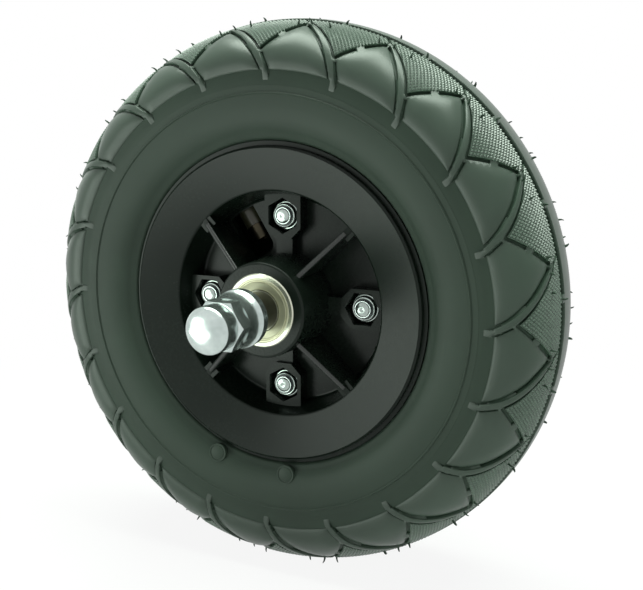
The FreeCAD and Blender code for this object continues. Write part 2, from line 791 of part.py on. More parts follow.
def makeClampNuts():
    """Nylon insert nuts, each with a collar that holds the insert."""
    body = newBody("clamp_nuts")
    hexagon = addSketch(body, "HexagonOutline", "XZ_Plane", lift="nutSeatOut")
    drawHexagon(hexagon, "nutWidth", "clampCircleRadius")
    padded(body, "Hexagon", hexagon, "nutHexHeight")
    collar = addSketch(body, "CollarOutline", "XZ_Plane", lift="nutSeatOut")
    drawCircle(collar, "nutCollarRadius", "0", "clampCircleRadius")
    padded(body, "Collar", collar, "nutHeight")
    thread = addSketch(body, "ThreadOutline", "XZ_Plane", lift="nutSeatOut + nutHeight")
    drawCircle(thread, "screwRadius + fitGap", "0", "clampCircleRadius")
    pocketed(body, "Thread", thread, "nutHeight")
    seat = addSketch(body, "InsertSeatOutline", "XZ_Plane", lift="nutSeatOut + nutHeight")
    drawCircle(seat, "insertRadius + fitGap", "0", "clampCircleRadius")
    pocketed(body, "InsertSeat", seat, "insertHeight + 0.3")
    repeated(body, "Nuts", None, "clampCount", whole=True)


def makeNutInserts():
    body = newBody("nut_inserts")
    low = "nutSeatOut + nutHeight - 0.3 - insertHeight"
    sketch = addSketch(body, "Outline", "XZ_Plane", lift=low)
    drawCircle(sketch, "insertRadius", "0", "clampCircleRadius")
    drawCircle(sketch, "screwRadius + fitGap", "0", "clampCircleRadius")
    padded(body, "Insert", sketch, "insertHeight")
    repeated(body, "Inserts", None, "clampCount", whole=True)


# ---- bearings --------------------------------------------------------------

BEARING_MIDDLE = "bearingOut - bearingWidth / 2"


def makeOuterRing(label):
    body = newBody(label)
    inside = "bearingOut - bearingWidth"
    shieldSeat = "shieldRadius + fitGap"
    seatDepth = "shieldDepth + shieldThickness + fitGap"
    turned(
        body,
        "Section",
        mirrored(
            [
                (shieldSeat, inside),
                ("bearingRadius - bearingChamfer", inside),
                ("bearingRadius", f"{inside} + bearingChamfer"),
                ("bearingRadius", "bearingOut - bearingChamfer"),
                ("bearingRadius - bearingChamfer", "bearingOut"),
                (shieldSeat, "bearingOut"),
                (shieldSeat, f"bearingOut - ({seatDepth})"),
                ("outerLandRadius", f"bearingOut - ({seatDepth})"),
                ("outerLandRadius", f"{inside} + {seatDepth}"),
                (shieldSeat, f"{inside} + {seatDepth}"),
            ]
        ),
    )
    race = ("ballRadius + raceGap", "ballCircleRadius", f"-({BEARING_MIDDLE})")
    turned(body, "Race", None, cut=True, circle=race)
    return body


def makeInnerRing(label):
    body = newBody(label)
    bore = "axleRadius + fitGap"
    inside = "bearingOut - bearingWidth"
    turned(
        body,
        "Section",
        mirrored(
            [
                (bore, inside),
                ("innerLandRadius", inside),
                ("innerLandRadius", "bearingOut"),
                (bore, "bearingOut"),
            ]
        ),
    )
    race = ("ballRadius + raceGap", "ballCircleRadius", f"-({BEARING_MIDDLE})")
    turned(body, "Race", None, cut=True, circle=race)
    return body


def addBall(body, kind, radius):
    """A ball at the top of the ball circle, added to a body or cut from it."""
    before = 0 if body.Shape.isNull() else body.Shape.Volume
    ball = body.newObject(f"PartDesign::{kind}Sphere", body.Label + "_Ball")
    bind(ball, "Radius", radius)
    bind(ball, "Placement.Base.y", f"-({BEARING_MIDDLE})")
    bind(ball, "Placement.Base.z", "ballCircleRadius")
    body.Tip = ball
    if kind == "Subtractive":
        checkCut(body, ball, before)
    doc.recompute()
    return ball


def makeBalls(label):
    body = newBody(label)
    addBall(body, "Additive", "ballRadius")
    repeated(body, "Balls", None, "ballCount", whole=True)
    return body


def makeCage(label):
    body = newBody(label)
    turned(
        body,
        "Ring",
        mirrored(
            [
                ("cageInnerRadius", f"{BEARING_MIDDLE} - cageHalfWidth"),
                ("cageOuterRadius", f"{BEARING_MIDDLE} - cageHalfWidth"),
                ("cageOuterRadius", f"{BEARING_MIDDLE} + cageHalfWidth"),
                ("cageInnerRadius", f"{BEARING_MIDDLE} + cageHalfWidth"),
            ]
        ),
    )
    pocket = addBall(body, "Subtractive", "ballRadius + cageGap")
    repeated(body, "Pockets", [pocket], "ballCount")
    return body


def makeShield(label, face, inward):
    """A pressed ring in its seat, a little below a face of the bearing."""
    body = newBody(label)
    near = f"{face} + {inward} * shieldDepth"
    far = f"{near} + {inward} * shieldThickness"
    hole = "innerLandRadius + shieldGap"
    outline = [(hole, near), ("shieldRadius", near), ("shieldRadius", far), (hole, far)]
    turned(body, "Section", mirrored(outline))
    return body


def makeBearing(side):
    pieces = [
        makeOuterRing(side + "_bearing_outer_ring"),
        makeInnerRing(side + "_bearing_inner_ring"),
        makeBalls(side + "_bearing_balls"),
        makeCage(side + "_bearing_cage"),
        makeShield(side + "_bearing_outer_shield", "bearingOut", -1),
        makeShield(side + "_bearing_inner_shield", "bearingOut - bearingWidth", 1),
    ]
    if side == "rear":
        for body in pieces:
            turnToRear(body)


# ---- axle and what is on it ------------------------------------------------

def makeAxleRod():
    body = newBody("axle_rod")
    half = [
        ("0", AXLE_END),
        ("axleRadius - axleChamfer", AXLE_END),
        ("axleRadius", f"{AXLE_END} - axleChamfer"),
    ]
    turned(body, "Section", mirrored(half) + half[::-1])


def makeTube(label, radius, near, far, gap="fitGap"):
    """A plain ring on the axle, between two places along it."""
    body = newBody(label)
    bore = f"axleRadius + {gap}"
    turned(body, "Section", mirrored([(bore, near), (radius, near), (radius, far), (bore, far)]))
    return body


def makeCapNut(label):
    """Flared collar, hexagon and dome in one piece, on the end of the axle."""
    body = newBody(label)
    seat = WASHER_END
    hexStart = f"{seat} + collarHeight"
    hexEnd = f"{hexStart} + capHexHeight"
    domeStart = f"{hexEnd} + domeSide"
    domeBall = "((domeRadius * domeRadius + domeHeight * domeHeight) / (2 * domeHeight))"
    domeHalf = f"asin(domeRadius / {domeBall}) / 2"
    turned(
        body,
        "Body",
        mirrored(
            [
                ("0", seat),
                ("collarRadius", seat),
                ("collarRadius", f"{seat} + collarRim"),
                ("collarNeckRadius", hexStart),
                ("domeRadius", hexStart),
                ("domeRadius", domeStart),
                (
                    f"{domeBall} * sin({domeHalf})",
                    f"{domeStart} + domeHeight - {domeBall} * (1 - cos({domeHalf}))",
                    "0",
                    f"{domeStart} + domeHeight",
                ),
            ]
        ),
    )
    hexagon = addSketch(body, "HexagonOutline", "XZ_Plane", lift=hexStart)
    drawHexagon(hexagon, "capNutWidth", turn="capNutTurn")
    padded(body, "Hexagon", hexagon, "capHexHeight")
    corner = "capNutWidth / 2 / cos(30 deg) + 0.5"
    flat = "capNutWidth / 2 - 0.1"
    slope = f"({corner} - ({flat})) * tan(30 deg)"
    chamfer = [(flat, hexEnd), (corner, f"{hexEnd} - {slope}"), (corner, hexEnd)]
    turned(body, "HexagonChamfer", mirrored(chamfer), cut=True)
    bore = "axleRadius + fitGap"
    thread = [
        ("0", seat),
        (bore, seat),
        (bore, f"{AXLE_END} + axleEndGap"),
        ("0", f"{AXLE_END} + axleEndGap"),
    ]
    turned(body, "Thread", mirrored(thread), cut=True)
    return body


def makeAxleSide(side):
    sleeveEnd = "bearingOut + sleeveLength"
    pieces = [
        makeTube(side + "_axle_sleeve", "sleeveRadius", "bearingOut", sleeveEnd),
        makeTube(
            side + "_axle_washer", "axleWasherRadius", sleeveEnd, WASHER_END, "axleWasherGap"
        ),
        makeCapNut(side + "_cap_nut"),
    ]
    if side == "rear":
        for body in pieces:
            turnToRear(body)


def makeSpacer():
    near = "bearingOut - bearingWidth"
    makeTube("bearing_spacer", "spacerRadius", near, f"-({near})")


# ---- the whole wheel -------------------------------------------------------

makeTyre()
makeInnerTube()
makeValve()
makeFrontRimHalf()
makeRearRimHalf()
makeClampScrews()
makeClampWashers()
makeClampNuts()
makeNutInserts()
for side in ("front", "rear"):
    makeBearing(side)
makeSpacer()
makeAxleRod()
for side in ("front", "rear"):
    makeAxleSide(side)
doc.recompute()

for thing in doc.Objects:
    if "Invalid" in thing.State or "Error" in thing.State:
        raise RuntimeError(f"{thing.Label} failed: {thing.State}")
os.makedirs("parts", exist_ok=True)
for body in parts:
    if body.Shape.isNull() or not body.Shape.isValid():
        raise RuntimeError(f"{body.Label} has no valid shape")
    body.Shape.exportStep(os.path.join("parts", body.Label + ".step"))
    print(body.Label, len(body.Shape.Solids), round(body.Shape.Volume, 1))
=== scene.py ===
import math
import random
from bisect import bisect_right
import bpy
from mathutils import Matrix, Vector


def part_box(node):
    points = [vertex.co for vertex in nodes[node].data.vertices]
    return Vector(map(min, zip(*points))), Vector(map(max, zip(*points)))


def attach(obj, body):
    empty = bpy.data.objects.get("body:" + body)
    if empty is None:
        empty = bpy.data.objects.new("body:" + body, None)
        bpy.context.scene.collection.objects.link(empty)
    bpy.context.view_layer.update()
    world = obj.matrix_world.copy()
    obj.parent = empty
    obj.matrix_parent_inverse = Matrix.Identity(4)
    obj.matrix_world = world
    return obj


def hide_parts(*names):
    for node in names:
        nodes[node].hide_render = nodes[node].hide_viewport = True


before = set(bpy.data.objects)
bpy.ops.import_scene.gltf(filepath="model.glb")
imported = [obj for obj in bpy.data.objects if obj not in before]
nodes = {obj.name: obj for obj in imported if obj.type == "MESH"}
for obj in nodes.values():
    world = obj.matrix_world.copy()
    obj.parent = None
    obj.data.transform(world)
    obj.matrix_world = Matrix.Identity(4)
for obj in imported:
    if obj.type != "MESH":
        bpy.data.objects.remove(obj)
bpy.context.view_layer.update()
random.seed(5)
millimetre = 0.001
gap = {  # what counts as touching
    "weld": 0.005 * millimetre,
    "bisect": 0.001 * millimetre,
    "cuts": 0.04 * millimetre,  # corners that the tread's cuts leave beside each other
    "pitches": 0.02 * millimetre,  # where one pitch of the tyre meets the next
}
print("frame loaded:", len(nodes), "nodes")


# small helpers for modelling

def deselectAll():
    if bpy.context.object and bpy.context.object.mode != "OBJECT":
        bpy.ops.object.mode_set(mode="OBJECT")
    bpy.ops.object.select_all(action="DESELECT")


def activate(piece):
    deselectAll()
    piece.select_set(True)
    bpy.context.view_layer.objects.active = piece


def rename(name):
    # names the active piece and its mesh
    piece = bpy.context.object
    piece.name = piece.data.name = name
    return piece


def settle(piece):
    # takes its place, turn and scale into its mesh
    activate(piece)
    bpy.ops.object.transform_apply(location=True, rotation=True, scale=True)
    return piece


def editAll(piece):
    activate(piece)
    bpy.ops.object.mode_set(mode="EDIT")
    bpy.ops.mesh.select_all(action="SELECT")


def editSome(piece, kind, test):
    # only the faces or edges that pass the test are selected
    activate(piece)
    mesh = piece.data
    for part in (*mesh.vertices, *mesh.edges, *mesh.polygons):
        part.select = False
    for part in (mesh.polygons if kind == "FACE" else mesh.edges):
        part.select = bool(test(part))
    bpy.ops.object.mode_set(mode="EDIT")
    bpy.ops.mesh.select_mode(type=kind)


def doneEditing():
    bpy.ops.object.mode_set(mode="OBJECT")


def extrudeBy(step):
    bpy.ops.mesh.extrude_region_move(TRANSFORM_OT_translate={"value": step})


def addModifier(piece, kind, **settings):
    activate(piece)
    modifier = piece.modifiers.new(kind.title(), kind)
    for key, value in settings.items():
        setattr(modifier, key, value)
    bpy.ops.object.modifier_apply(modifier=modifier.name)


def combine(piece, other, operation):
    # cuts, meets or joins a piece with another, which is then gone
    addModifier(piece, "BOOLEAN", operation=operation, solver="EXACT", object=other)
    bpy.data.objects.remove(other)


def bevelCorners(piece, width, angle):
    # only the corners that are sharper than the angle
    limit = math.radians(angle)
    addModifier(piece, "BEVEL", width=width, segments=2, limit_method="ANGLE", angle_limit=limit)


def joined(pieces, name):
    deselectAll()
    for piece in pieces:
        piece.select_set(True)
    bpy.context.view_layer.objects.active = pieces[0]
    if len(pieces) > 1:
        bpy.ops.object.join()
    return rename(name)


def shadeSmooth(piece, angle):
    activate(piece)
    bpy.ops.object.shade_smooth_by_angle(angle=math.radians(angle), keep_sharp_edges=False)


def facesOutward(piece):
    editAll(piece)
    bpy.ops.mesh.remove_doubles(threshold=gap["weld"])
    bpy.ops.mesh.normals_make_consistent(inside=False)
    doneEditing()


def addObject(name, data):
    made = bpy.data.objects.new(name, data)
    bpy.context.scene.collection.objects.link(made)
    return made


def sketch(name, points, edges, faces):
    mesh = bpy.data.meshes.new(name)
    mesh.from_pydata(points, edges, faces)
    return addObject(name, mesh)


def beside(radius, y, steps):
    # corners of an outline, as steps in millimetres from one place
    return [(radius + across * millimetre, y + along * millimetre) for across, along in steps]


def lathe(name, outline, steps):
    # spins a closed outline of (radius, y) corners once round the axle
    count = len(outline)
    corners = [(0, y, radius) for radius, y in outline]
    piece = sketch(name, corners, [(number, (number + 1) % count) for number in range(count)], [])
    editAll(piece)
    bpy.ops.mesh.spin(steps=steps, angle=math.tau, center=(0, 0, 0), axis=(0, 1, 0))
    doneEditing()
    facesOutward(piece)
    return piece


def finishPiece(piece, body, material, replaced=()):
    piece.data.materials.clear()
    piece.data.materials.append(material)
    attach(piece, body)
    if replaced:
        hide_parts(*replaced)


# shader maths: sockets that add, subtract, multiply and so on

class Socket:
    def __init__(self, shader, socket):
        self.shader, self.socket = shader, socket

    def maths(self, operation, *values):
        return self.shader.node("ShaderNodeMath", {"operation": operation}, dict(enumerate(values)))

    def __add__(self, other):
        return self.maths("ADD", self, other)

    def __sub__(self, other):
        return self.maths("SUBTRACT", self, other)

    def __mul__(self, other):
        return self.maths("MULTIPLY", self, other)

    def __rsub__(self, other):
        return self.maths("SUBTRACT", other, self)

    __radd__, __rmul__ = __add__, __mul__

    def largest(self, other):
        return self.maths("MAXIMUM", self, other)

    def clamped(self, low, high):
        # nought at the low end and one at the high end
        values = {"Value": self, "From Min": low, "From Max": high}
        return self.shader.node("ShaderNodeMapRange", {"clamp": True}, values)


class Shader:
    def __init__(self, name, world=False):
        # the owner is a material or the world
        self.owner = (bpy.data.worlds if world else bpy.data.materials).new(name)
        self.owner.use_nodes = True
        self.tree = self.owner.node_tree
        self.tree.nodes.clear()
        self.output = self.tree.nodes.new("ShaderNodeOutputWorld" if world else "ShaderNodeOutputMaterial")

    def node(self, kind, settings, values, result=0):
        made = self.tree.nodes.new(kind)
        for key, value in settings.items():
            setattr(made, key, value)
        for key, value in values.items():
            if isinstance(value, Socket):
                self.tree.links.new(value.socket, made.inputs[key])
            else:
                made.inputs[key].default_value = value
        return Socket(self, made.outputs[result])

    def place(self, scale=(1, 1, 1)):
        where = self.node("ShaderNodeTexCoord", {}, {}, "Object")
        return self.node("ShaderNodeMapping", {}, {"Vector": where, "Scale": scale})

    def distance(self, scale):
        # from the origin, along the axes that the scale keeps
        return self.node("ShaderNodeVectorMath", {"operation": "LENGTH"}, {0: self.place(scale)}, 1)

    def noise(self, scale, detail=2.0, roughness=0.5, where=None):
        values = {"Vector": where or self.place(), "Scale": scale, "Detail": detail, "Roughness": roughness}
        return self.node("ShaderNodeTexNoise", {}, values)

    def mixed(self, factor, first, second):
        return self.node("ShaderNodeMix", {"data_type": "RGBA"}, {"Factor": factor, 6: first, 7: second}, 2)

    def bump(self, height, strength, distance):
        return self.node("ShaderNodeBump", {}, {"Height": height, "Strength": strength, "Distance": distance})

    def seenDirectly(self):
        # one for what the camera sees, and for what metal and glass mirror
        camera, glossy, transmission = (
            self.node("ShaderNodeLightPath", {}, {}, f"Is {kind} Ray")
            for kind in ("Camera", "Glossy", "Transmission")
        )
        return camera.largest(glossy).largest(transmission)

    def blended(self, factor, first, second):
        return self.surface(self.node("ShaderNodeMixShader", {}, {0: factor, 1: first, 2: second}))

    def surface(self, made):
        self.tree.links.new(made.socket, self.output.inputs["Surface"])
        return self.owner

    def finish(self, **values):
        values = {key.replace("_", " "): value for key, value in values.items()}
        return self.surface(self.node("ShaderNodeBsdfPrincipled", {}, values))


# a lift above one paints a colour paler; the tyre's rubbers use it for the painted sheen on the crown
def colour(red, green, blue, sheenLift=1.0):
    return (red * sheenLift, green * sheenLift, blue * sheenLift, 1.0)


# finishes

rubberLook = {
    "side": ((0.029, 0.040, 0.032), (0.041, 0.057, 0.045)),
    # paler colours for the crown: a painted sheen where the light catches the blocks
    "crown": ((0.031, 0.050, 0.036), (0.043, 0.069, 0.050)),
    "dust": (0.045, 0.066, 0.050),
    "dustShare": 0.25,
    # radii over which the painted sheen on the crown fades in
    "sheenFade": (79 * millimetre, 95 * millimetre),  # radii between which side turns into crown
    "roughness": 0.42,
}


def tyreRubber(name, sheenLift, gloss):
    # paler from the foot of the blocks up to the crown, which is a painted sheen where the light catches the
    # blocks, and smoother there too
    shader = Shader(name)
    broad = shader.noise(scale=9, detail=3, roughness=0.55)
    fine = shader.noise(scale=420, detail=4, roughness=0.6)
    grain = shader.noise(scale=2600, detail=2, roughness=0.5)
    dust = shader.noise(scale=60, detail=5, roughness=0.65).clamped(0.55, 0.75)
    outward = shader.distance(scale=(1, 0, 1)).clamped(*rubberLook["sheenFade"])
    cloud = broad.clamped(0.35, 0.68)
    side = shader.mixed(cloud, *(colour(*tint) for tint in rubberLook["side"]))
    # the crown's colours are lifted paler, a painted sheen
    crown = shader.mixed(cloud, *(colour(*tint, sheenLift) for tint in rubberLook["crown"]))
    base = shader.mixed(outward, side, crown)
    base = shader.mixed(dust * rubberLook["dustShare"], base, colour(*rubberLook["dust"]))
    rough = rubberLook["roughness"] - outward * 0.06 + (broad - 0.5) * 0.16 + (fine - 0.5) * 0.10
    normal = shader.bump(grain * 0.5 + fine, strength=0.22, distance=0.06 * millimetre)
    return shader.finish(Base_Color=base, Roughness=rough, Normal=normal, Specular_IOR_Level=gloss)


def hubPlastic(name, gloss):
    shader = Shader(name)
    broad = shader.noise(scale=22, detail=3, roughness=0.5)
    fine = shader.noise(scale=900, detail=3, roughness=0.6)
    base = shader.mixed(broad.clamped(0.3, 0.7), colour(0.005, 0.008, 0.006), colour(0.009, 0.014, 0.0105))
    rough = 0.27 + (broad - 0.5) * 0.12 + (fine - 0.5) * 0.08
    normal = shader.bump(fine, strength=0.12, distance=0.04 * millimetre)
    return shader.finish(Base_Color=base, Roughness=rough, Normal=normal, Specular_IOR_Level=gloss)


def brightZinc(name, low, high, metal, roughness):
    shader = Shader(name)
    broad = shader.noise(scale=140, detail=3, roughness=0.55)
    fine = shader.noise(scale=1500, detail=2, roughness=0.6, where=shader.place(scale=(1, 0.2, 1)))
    base = shader.mixed(broad.clamped(0.35, 0.65), colour(*low), colour(*high))
    rough = roughness + (broad - 0.5) * 0.10 + (fine - 0.5) * 0.06
    normal = shader.bump(fine + broad * 2, strength=0.10, distance=0.05 * millimetre)
    return shader.finish(Base_Color=base, Metallic=metal, Roughness=rough, Normal=normal)


def turnedSteel(name, low, high, roughness, metal=1.0):
    shader = Shader(name)
    rings = shader.noise(scale=700, detail=2, roughness=0.5, where=shader.place(scale=(1, 0.15, 1)))
    broad = shader.noise(scale=90, detail=3, roughness=0.5)
    base = shader.mixed(broad.clamped(0.3, 0.7), colour(*low), colour(*high))
    rough = roughness + (rings - 0.5) * 0.12
    normal = shader.bump(rings, strength=0.12, distance=0.03 * millimetre)
    return shader.finish(Base_Color=base, Metallic=metal, Roughness=rough, Normal=normal)


def softFinish(name, low, high, roughness):
    shader = Shader(name)
    broad = shader.noise(scale=60, detail=3, roughness=0.5)
    fine = shader.noise(scale=1400, detail=3, roughness=0.6)
    base = shader.mixed(broad.clamped(0.3, 0.7), colour(*low), colour(*high))
    rough = roughness + (fine - 0.5) * 0.12
    normal = shader.bump(fine, strength=0.2, distance=0.05 * millimetre)
    return shader.finish(Base_Color=base, Roughness=rough, Normal=normal)


# three copies of one rubber whose lift paints the crown paler by different amounts, a painted sheen that is
# strongest on the knurl
rubber = tyreRubber("tyreRubber", sheenLift=1.15, gloss=0.13)
treadRubber = tyreRubber("treadRubber", sheenLift=1.1, gloss=0.36)
knurlRubber = tyreRubber("knurlRubber", sheenLift=2.0, gloss=0.8)
plastic = hubPlastic("hubPlastic", gloss=0.15)
ribPlastic = hubPlastic("ribPlastic", gloss=0.6)
zinc = brightZinc("brightZinc", (0.46, 0.53, 0.51), (0.60, 0.67, 0.65), metal=0.92, roughness=0.22)
# a darker copy of the bright zinc: painted shade for the clamp nuts and their screw ends down in the rim's
# pockets
shadedNutZinc = brightZinc("shadedNutZinc", (0.30, 0.36, 0.33), (0.44, 0.50, 0.47), metal=0.95, roughness=0.2)
bearingSteel = turnedSteel("bearingSteel", (0.50, 0.52, 0.42), (0.60, 0.61, 0.50), 0.24, metal=0.75)
shieldSteel = turnedSteel("shieldSteel", (0.66, 0.65, 0.46), (0.64, 0.64, 0.46), 0.34, metal=0.6)
# near-black steel: painted shade and dark reflections for the axle, spacer and sleeves inside the hub
shadedSteel = turnedSteel("shadedSteel", (0.035, 0.037, 0.032), (0.07, 0.072, 0.06), roughness=0.3)
brass = turnedSteel("brass", (0.55, 0.50, 0.34), (0.68, 0.63, 0.45), roughness=0.22)
# nearly black brass for the valve barrel, much darker than the brass of the core and pin
darkBrass = turnedSteel("darkBrass", (0.035, 0.032, 0.022), (0.07, 0.06, 0.04), roughness=0.3)
nylon = softFinish("nylon", (0.018, 0.024, 0.026), (0.035, 0.045, 0.048), roughness=0.45)
valveRubber = softFinish("valveRubber", (0.03, 0.03, 0.018), (0.055, 0.052, 0.03), roughness=0.3)
tubeRubber = softFinish("tubeRubber", (0.015, 0.015, 0.015), (0.025, 0.025, 0.025), roughness=0.5)

finishOf = {
    "tyre": rubber, "inner_tube": tubeRubber, "valve_stem": valveRubber, "valve_barrel": darkBrass,
    "valve_core": brass, "valve_pin": brass, "rim_half_front": plastic, "rim_half_rear": plastic,
    "nut_inserts": nylon, "axle_rod": shadedSteel, "bearing_spacer": shadedSteel,
    "front_axle_sleeve": shadedSteel, "rear_axle_sleeve": shadedSteel,
}
for name, node in nodes.items():
    finish = finishOf.get(name)
    if finish is None:
        finish = shieldSteel if "shield" in name else bearingSteel if "bearing" in name else zinc
    for slot in node.material_slots:
        slot.material = finish
print("finishes made")


# tyre: its section is a quarter ellipse from the crown to the shoulder, and nearly straight below

tyreLow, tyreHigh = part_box("tyre")
tyre = {
    "crownRadius": tyreHigh.z - 2.0 * millimetre,  # without the vent hairs
    "halfWidth": tyreHigh.y,
    "shoulderDepth": 18.0 * millimetre,
    "shoulderSteps": 720,
    "sideSlope": 0.07,  # how fast the sidewall draws in below the shoulder
    "pitches": 20,
    "phase": -1.6,  # degrees
    "treadThickness": 1.8 * millimetre,
    "treadReach": 38.3 * millimetre,
    "planReach": 1.7,  # pitches either way, before the plan is trimmed to one
    "cutterHeight": 8.0 * millimetre,
    "blockEnd": 34.6 * millimetre,
    "valleyEnd": 38.4 * millimetre,
    "cell": 1.6 * millimetre,  # of the finished mesh
    "edgeBevel": 0.32 * millimetre,
}
pitch = 360 / tyre["pitches"]  # degrees


def shoulderPoint(angle):
    radius = tyre["crownRadius"] - tyre["shoulderDepth"] * (1 - math.cos(angle))
    return radius, tyre["halfWidth"] * math.sin(angle)


shoulder = [
    shoulderPoint(math.pi / 2 * step / tyre["shoulderSteps"]) for step in range(tyre["shoulderSteps"] + 1)
]
travelled = [0.0]  # along the section from the middle of the crown
for first, second in zip(shoulder, shoulder[1:]):
    travelled.append(travelled[-1] + math.dist(first, second))


def onTread(along, height=0.0):
    # (radius, y) of a place; positive distances lie on the front, towards -Y
    beyond = abs(along) - travelled[-1]
    if beyond >= 0:
        radius, out = shoulder[-1][0] - beyond, tyre["halfWidth"] - tyre["sideSlope"] * beyond
        normal = Vector((0.0, 1.0))
    else:
        low = bisect_right(travelled, abs(along)) - 1
        share = (abs(along) - travelled[low]) / (travelled[low + 1] - travelled[low])
        angle = math.pi / 2 * (low + share) / tyre["shoulderSteps"]
        radius, out = shoulderPoint(angle)
        normal = Vector((math.cos(angle) * tyre["halfWidth"], math.sin(angle) * tyre["shoulderDepth"]))
        normal.normalize()
    side = -1.0 if along > 0 else 1.0
    return radius + normal.x * height, side * (out + normal.y * height)


def wrapOnTyre(piece):
    # the flat plan has x along the crown, y along the section and z outwards
    for point in piece.data.vertices:
        turn = point.co.x / tyre["crownRadius"]
        radius, y = onTread(point.co.y, point.co.z)
        point.co = (radius * math.sin(turn), y, radius * math.cos(turn))
    piece.data.update()


def aroundTyre(piece):
    # the first pitch goes to its place, and the others are copied round the axle
    piece.data.transform(Matrix.Rotation(math.radians(tyre["phase"]), 4, (0, 1, 0)))
    copies = tyre["pitches"] - 1
    editAll(piece)
    bpy.ops.mesh.spin(
        steps=copies, dupli=True, angle=math.tau * copies / tyre["pitches"], center=(0, 0, 0), axis=(0, 1, 0),
    )
    bpy.ops.mesh.select_all(action="SELECT")
    bpy.ops.mesh.remove_doubles(threshold=gap["pitches"])
    doneEditing()


def degreesAlong(value):
    return math.radians(value) * tyre["crownRadius"]


def sideShift(side):
    # the rear's tread is half a pitch further round than the front's
    return 0 if side > 0 else pitch / 2


# the plan of one pitch: places are degrees round the tyre and millimetres from the crown's middle

through, shallow = 4.0, 0.5  # depths in millimetres, down to the carcass or only into the tread
blockSide = [
    (-10.0, 12.9), (-9.3, 14.0), (-7.8, 16.9), (-5.8, 20.3),
    (-3.8, 24.1), (-1.8, 28.1), (-0.3, 31.8), (1.1, 36.0),
]
fieldSide = [
    (-12.6, 6.4), (-11.0, 9.3), (-8.8, 12.3), (-6.8, 15.2),
    (-4.8, 18.3), (-2.8, 21.7), (-1.3, 24.4), (0.0, 27.0),
]
lowerCut = [(-0.1, 27.0), (3.1, 20.6)]
upperCut = [(4.3, 18.2), (7.3, 11.9)]
tongueSide = [(0.6, 28.4), (3.5, 37.2)]
grooves = [
    {"points": [(-20.7, 6.2), (-4.4, 6.2)], "width": 2.0, "depth": through},  # beside the crown rib
    {"points": fieldSide, "width": 0.8, "depth": through},
    {"points": lowerCut, "width": 1.3, "depth": through},
    {"points": upperCut, "width": 1.3, "depth": through},
    {"points": blockSide[:5], "width": 0.75, "depth": through},
    {"points": blockSide[4:], "width": 0.8, "depth": shallow},
    {"points": [(-0.1, 32.3), (0.75, 34.9)], "width": 0.8, "depth": through},  # at a block's foot
    {"points": tongueSide, "width": 0.7, "depth": shallow},
]
fieldOutline = fieldSide + [upperCut[-1], (7.7, 10.4), (5.8, 7.2)]
blockOutline = (
    [(turn - pitch, along) for turn, along in lowerCut + upperCut]
    + blockSide[:-1]
    + [(1.0, 35.2), (2.9 - pitch, 35.2), (0.6 - pitch, 28.4)]
)
valley = {
    "beforeTongue": 0.6,  # degrees
    "pastBlock": 0.1,  # degrees
    "width": 8.0 * millimetre,
    "height": 10.0 * millimetre,
}


def makeStrip(groove, shift, side):
    # an upright ribbon along a groove, given its width
    shift += sideShift(side)
    low = -groove["depth"] * millimetre
    places = [
        (degreesAlong(turn + shift), side * along * millimetre, low) for turn, along in groove["points"]
    ]
    piece = sketch("groove", places, [(number, number + 1) for number in range(len(places) - 1)], [])
    editAll(piece)
    extrudeBy((0, 0, tyre["cutterHeight"]))
    doneEditing()
    width = groove["width"] * millimetre
    addModifier(piece, "SOLIDIFY", thickness=width, offset=0.0, use_even_offset=True)
    facesOutward(piece)
    return piece


def makeValley(shift, side):
    # clears the foot of the blocks, which only the tongues cross
    shift += sideShift(side)
    first = degreesAlong(tongueSide[-1][0] - valley["beforeTongue"] + shift - pitch)
    last = degreesAlong(blockSide[-1][0] + valley["pastBlock"] + shift)
    bpy.ops.mesh.primitive_cube_add(
        size=1,
        location=((first + last) / 2, side * (tyre["blockEnd"] + valley["width"] / 2), 0),
        scale=(last - first, valley["width"], valley["height"]),
    )
    return settle(rename("valley"))


def makeTreadPlan():
    # a flat slab of a little over three pitches, cut by every groove that reaches it
    reach, thickness = degreesAlong(tyre["planReach"] * pitch), tyre["treadThickness"]
    bpy.ops.mesh.primitive_cube_add(
        size=1, location=(0, 0, -thickness / 2), scale=(2 * reach, 2 * tyre["treadReach"], thickness),
    )
    slab = settle(rename("treadPlan"))
    for side in (1, -1):
        for count in range(-2, 3):
            for groove in grooves:
                combine(slab, makeStrip(groove, count * pitch, side), "DIFFERENCE")
            combine(slab, makeValley(count * pitch, side), "DIFFERENCE")
    print("tread plan cut:", len(slab.data.polygons), "faces")
    return slab


def grooveRims(mesh):
    # edges where the flat top meets a groove's wall
    walls = {}
    for face in mesh.polygons:
        isTop = face.normal.z > 0.9 and abs(face.center.z) < 0.1 * millimetre
        for key in face.edge_keys:
            walls.setdefault(key, []).append(isTop)
    return {key for key, kinds in walls.items() if len(kinds) == 2 and kinds[0] != kinds[1]}


def bevelGrooves(slab):
    editAll(slab)
    bpy.ops.mesh.remove_doubles(threshold=gap["cuts"])
    bpy.ops.mesh.dissolve_limited(angle_limit=math.radians(0.5))
    doneEditing()
    rims = grooveRims(slab.data)
    editSome(slab, "EDGE", lambda edge: tuple(sorted(edge.vertices)) in rims)
    bpy.ops.mesh.bevel(offset=tyre["edgeBevel"], segments=2, profile=0.5, clamp_overlap=False)
    doneEditing()


def bisectAt(piece, place, direction, **sides):
    editAll(piece)
    bpy.ops.mesh.bisect(plane_co=place, plane_no=direction, threshold=gap["bisect"], **sides)
    doneEditing()


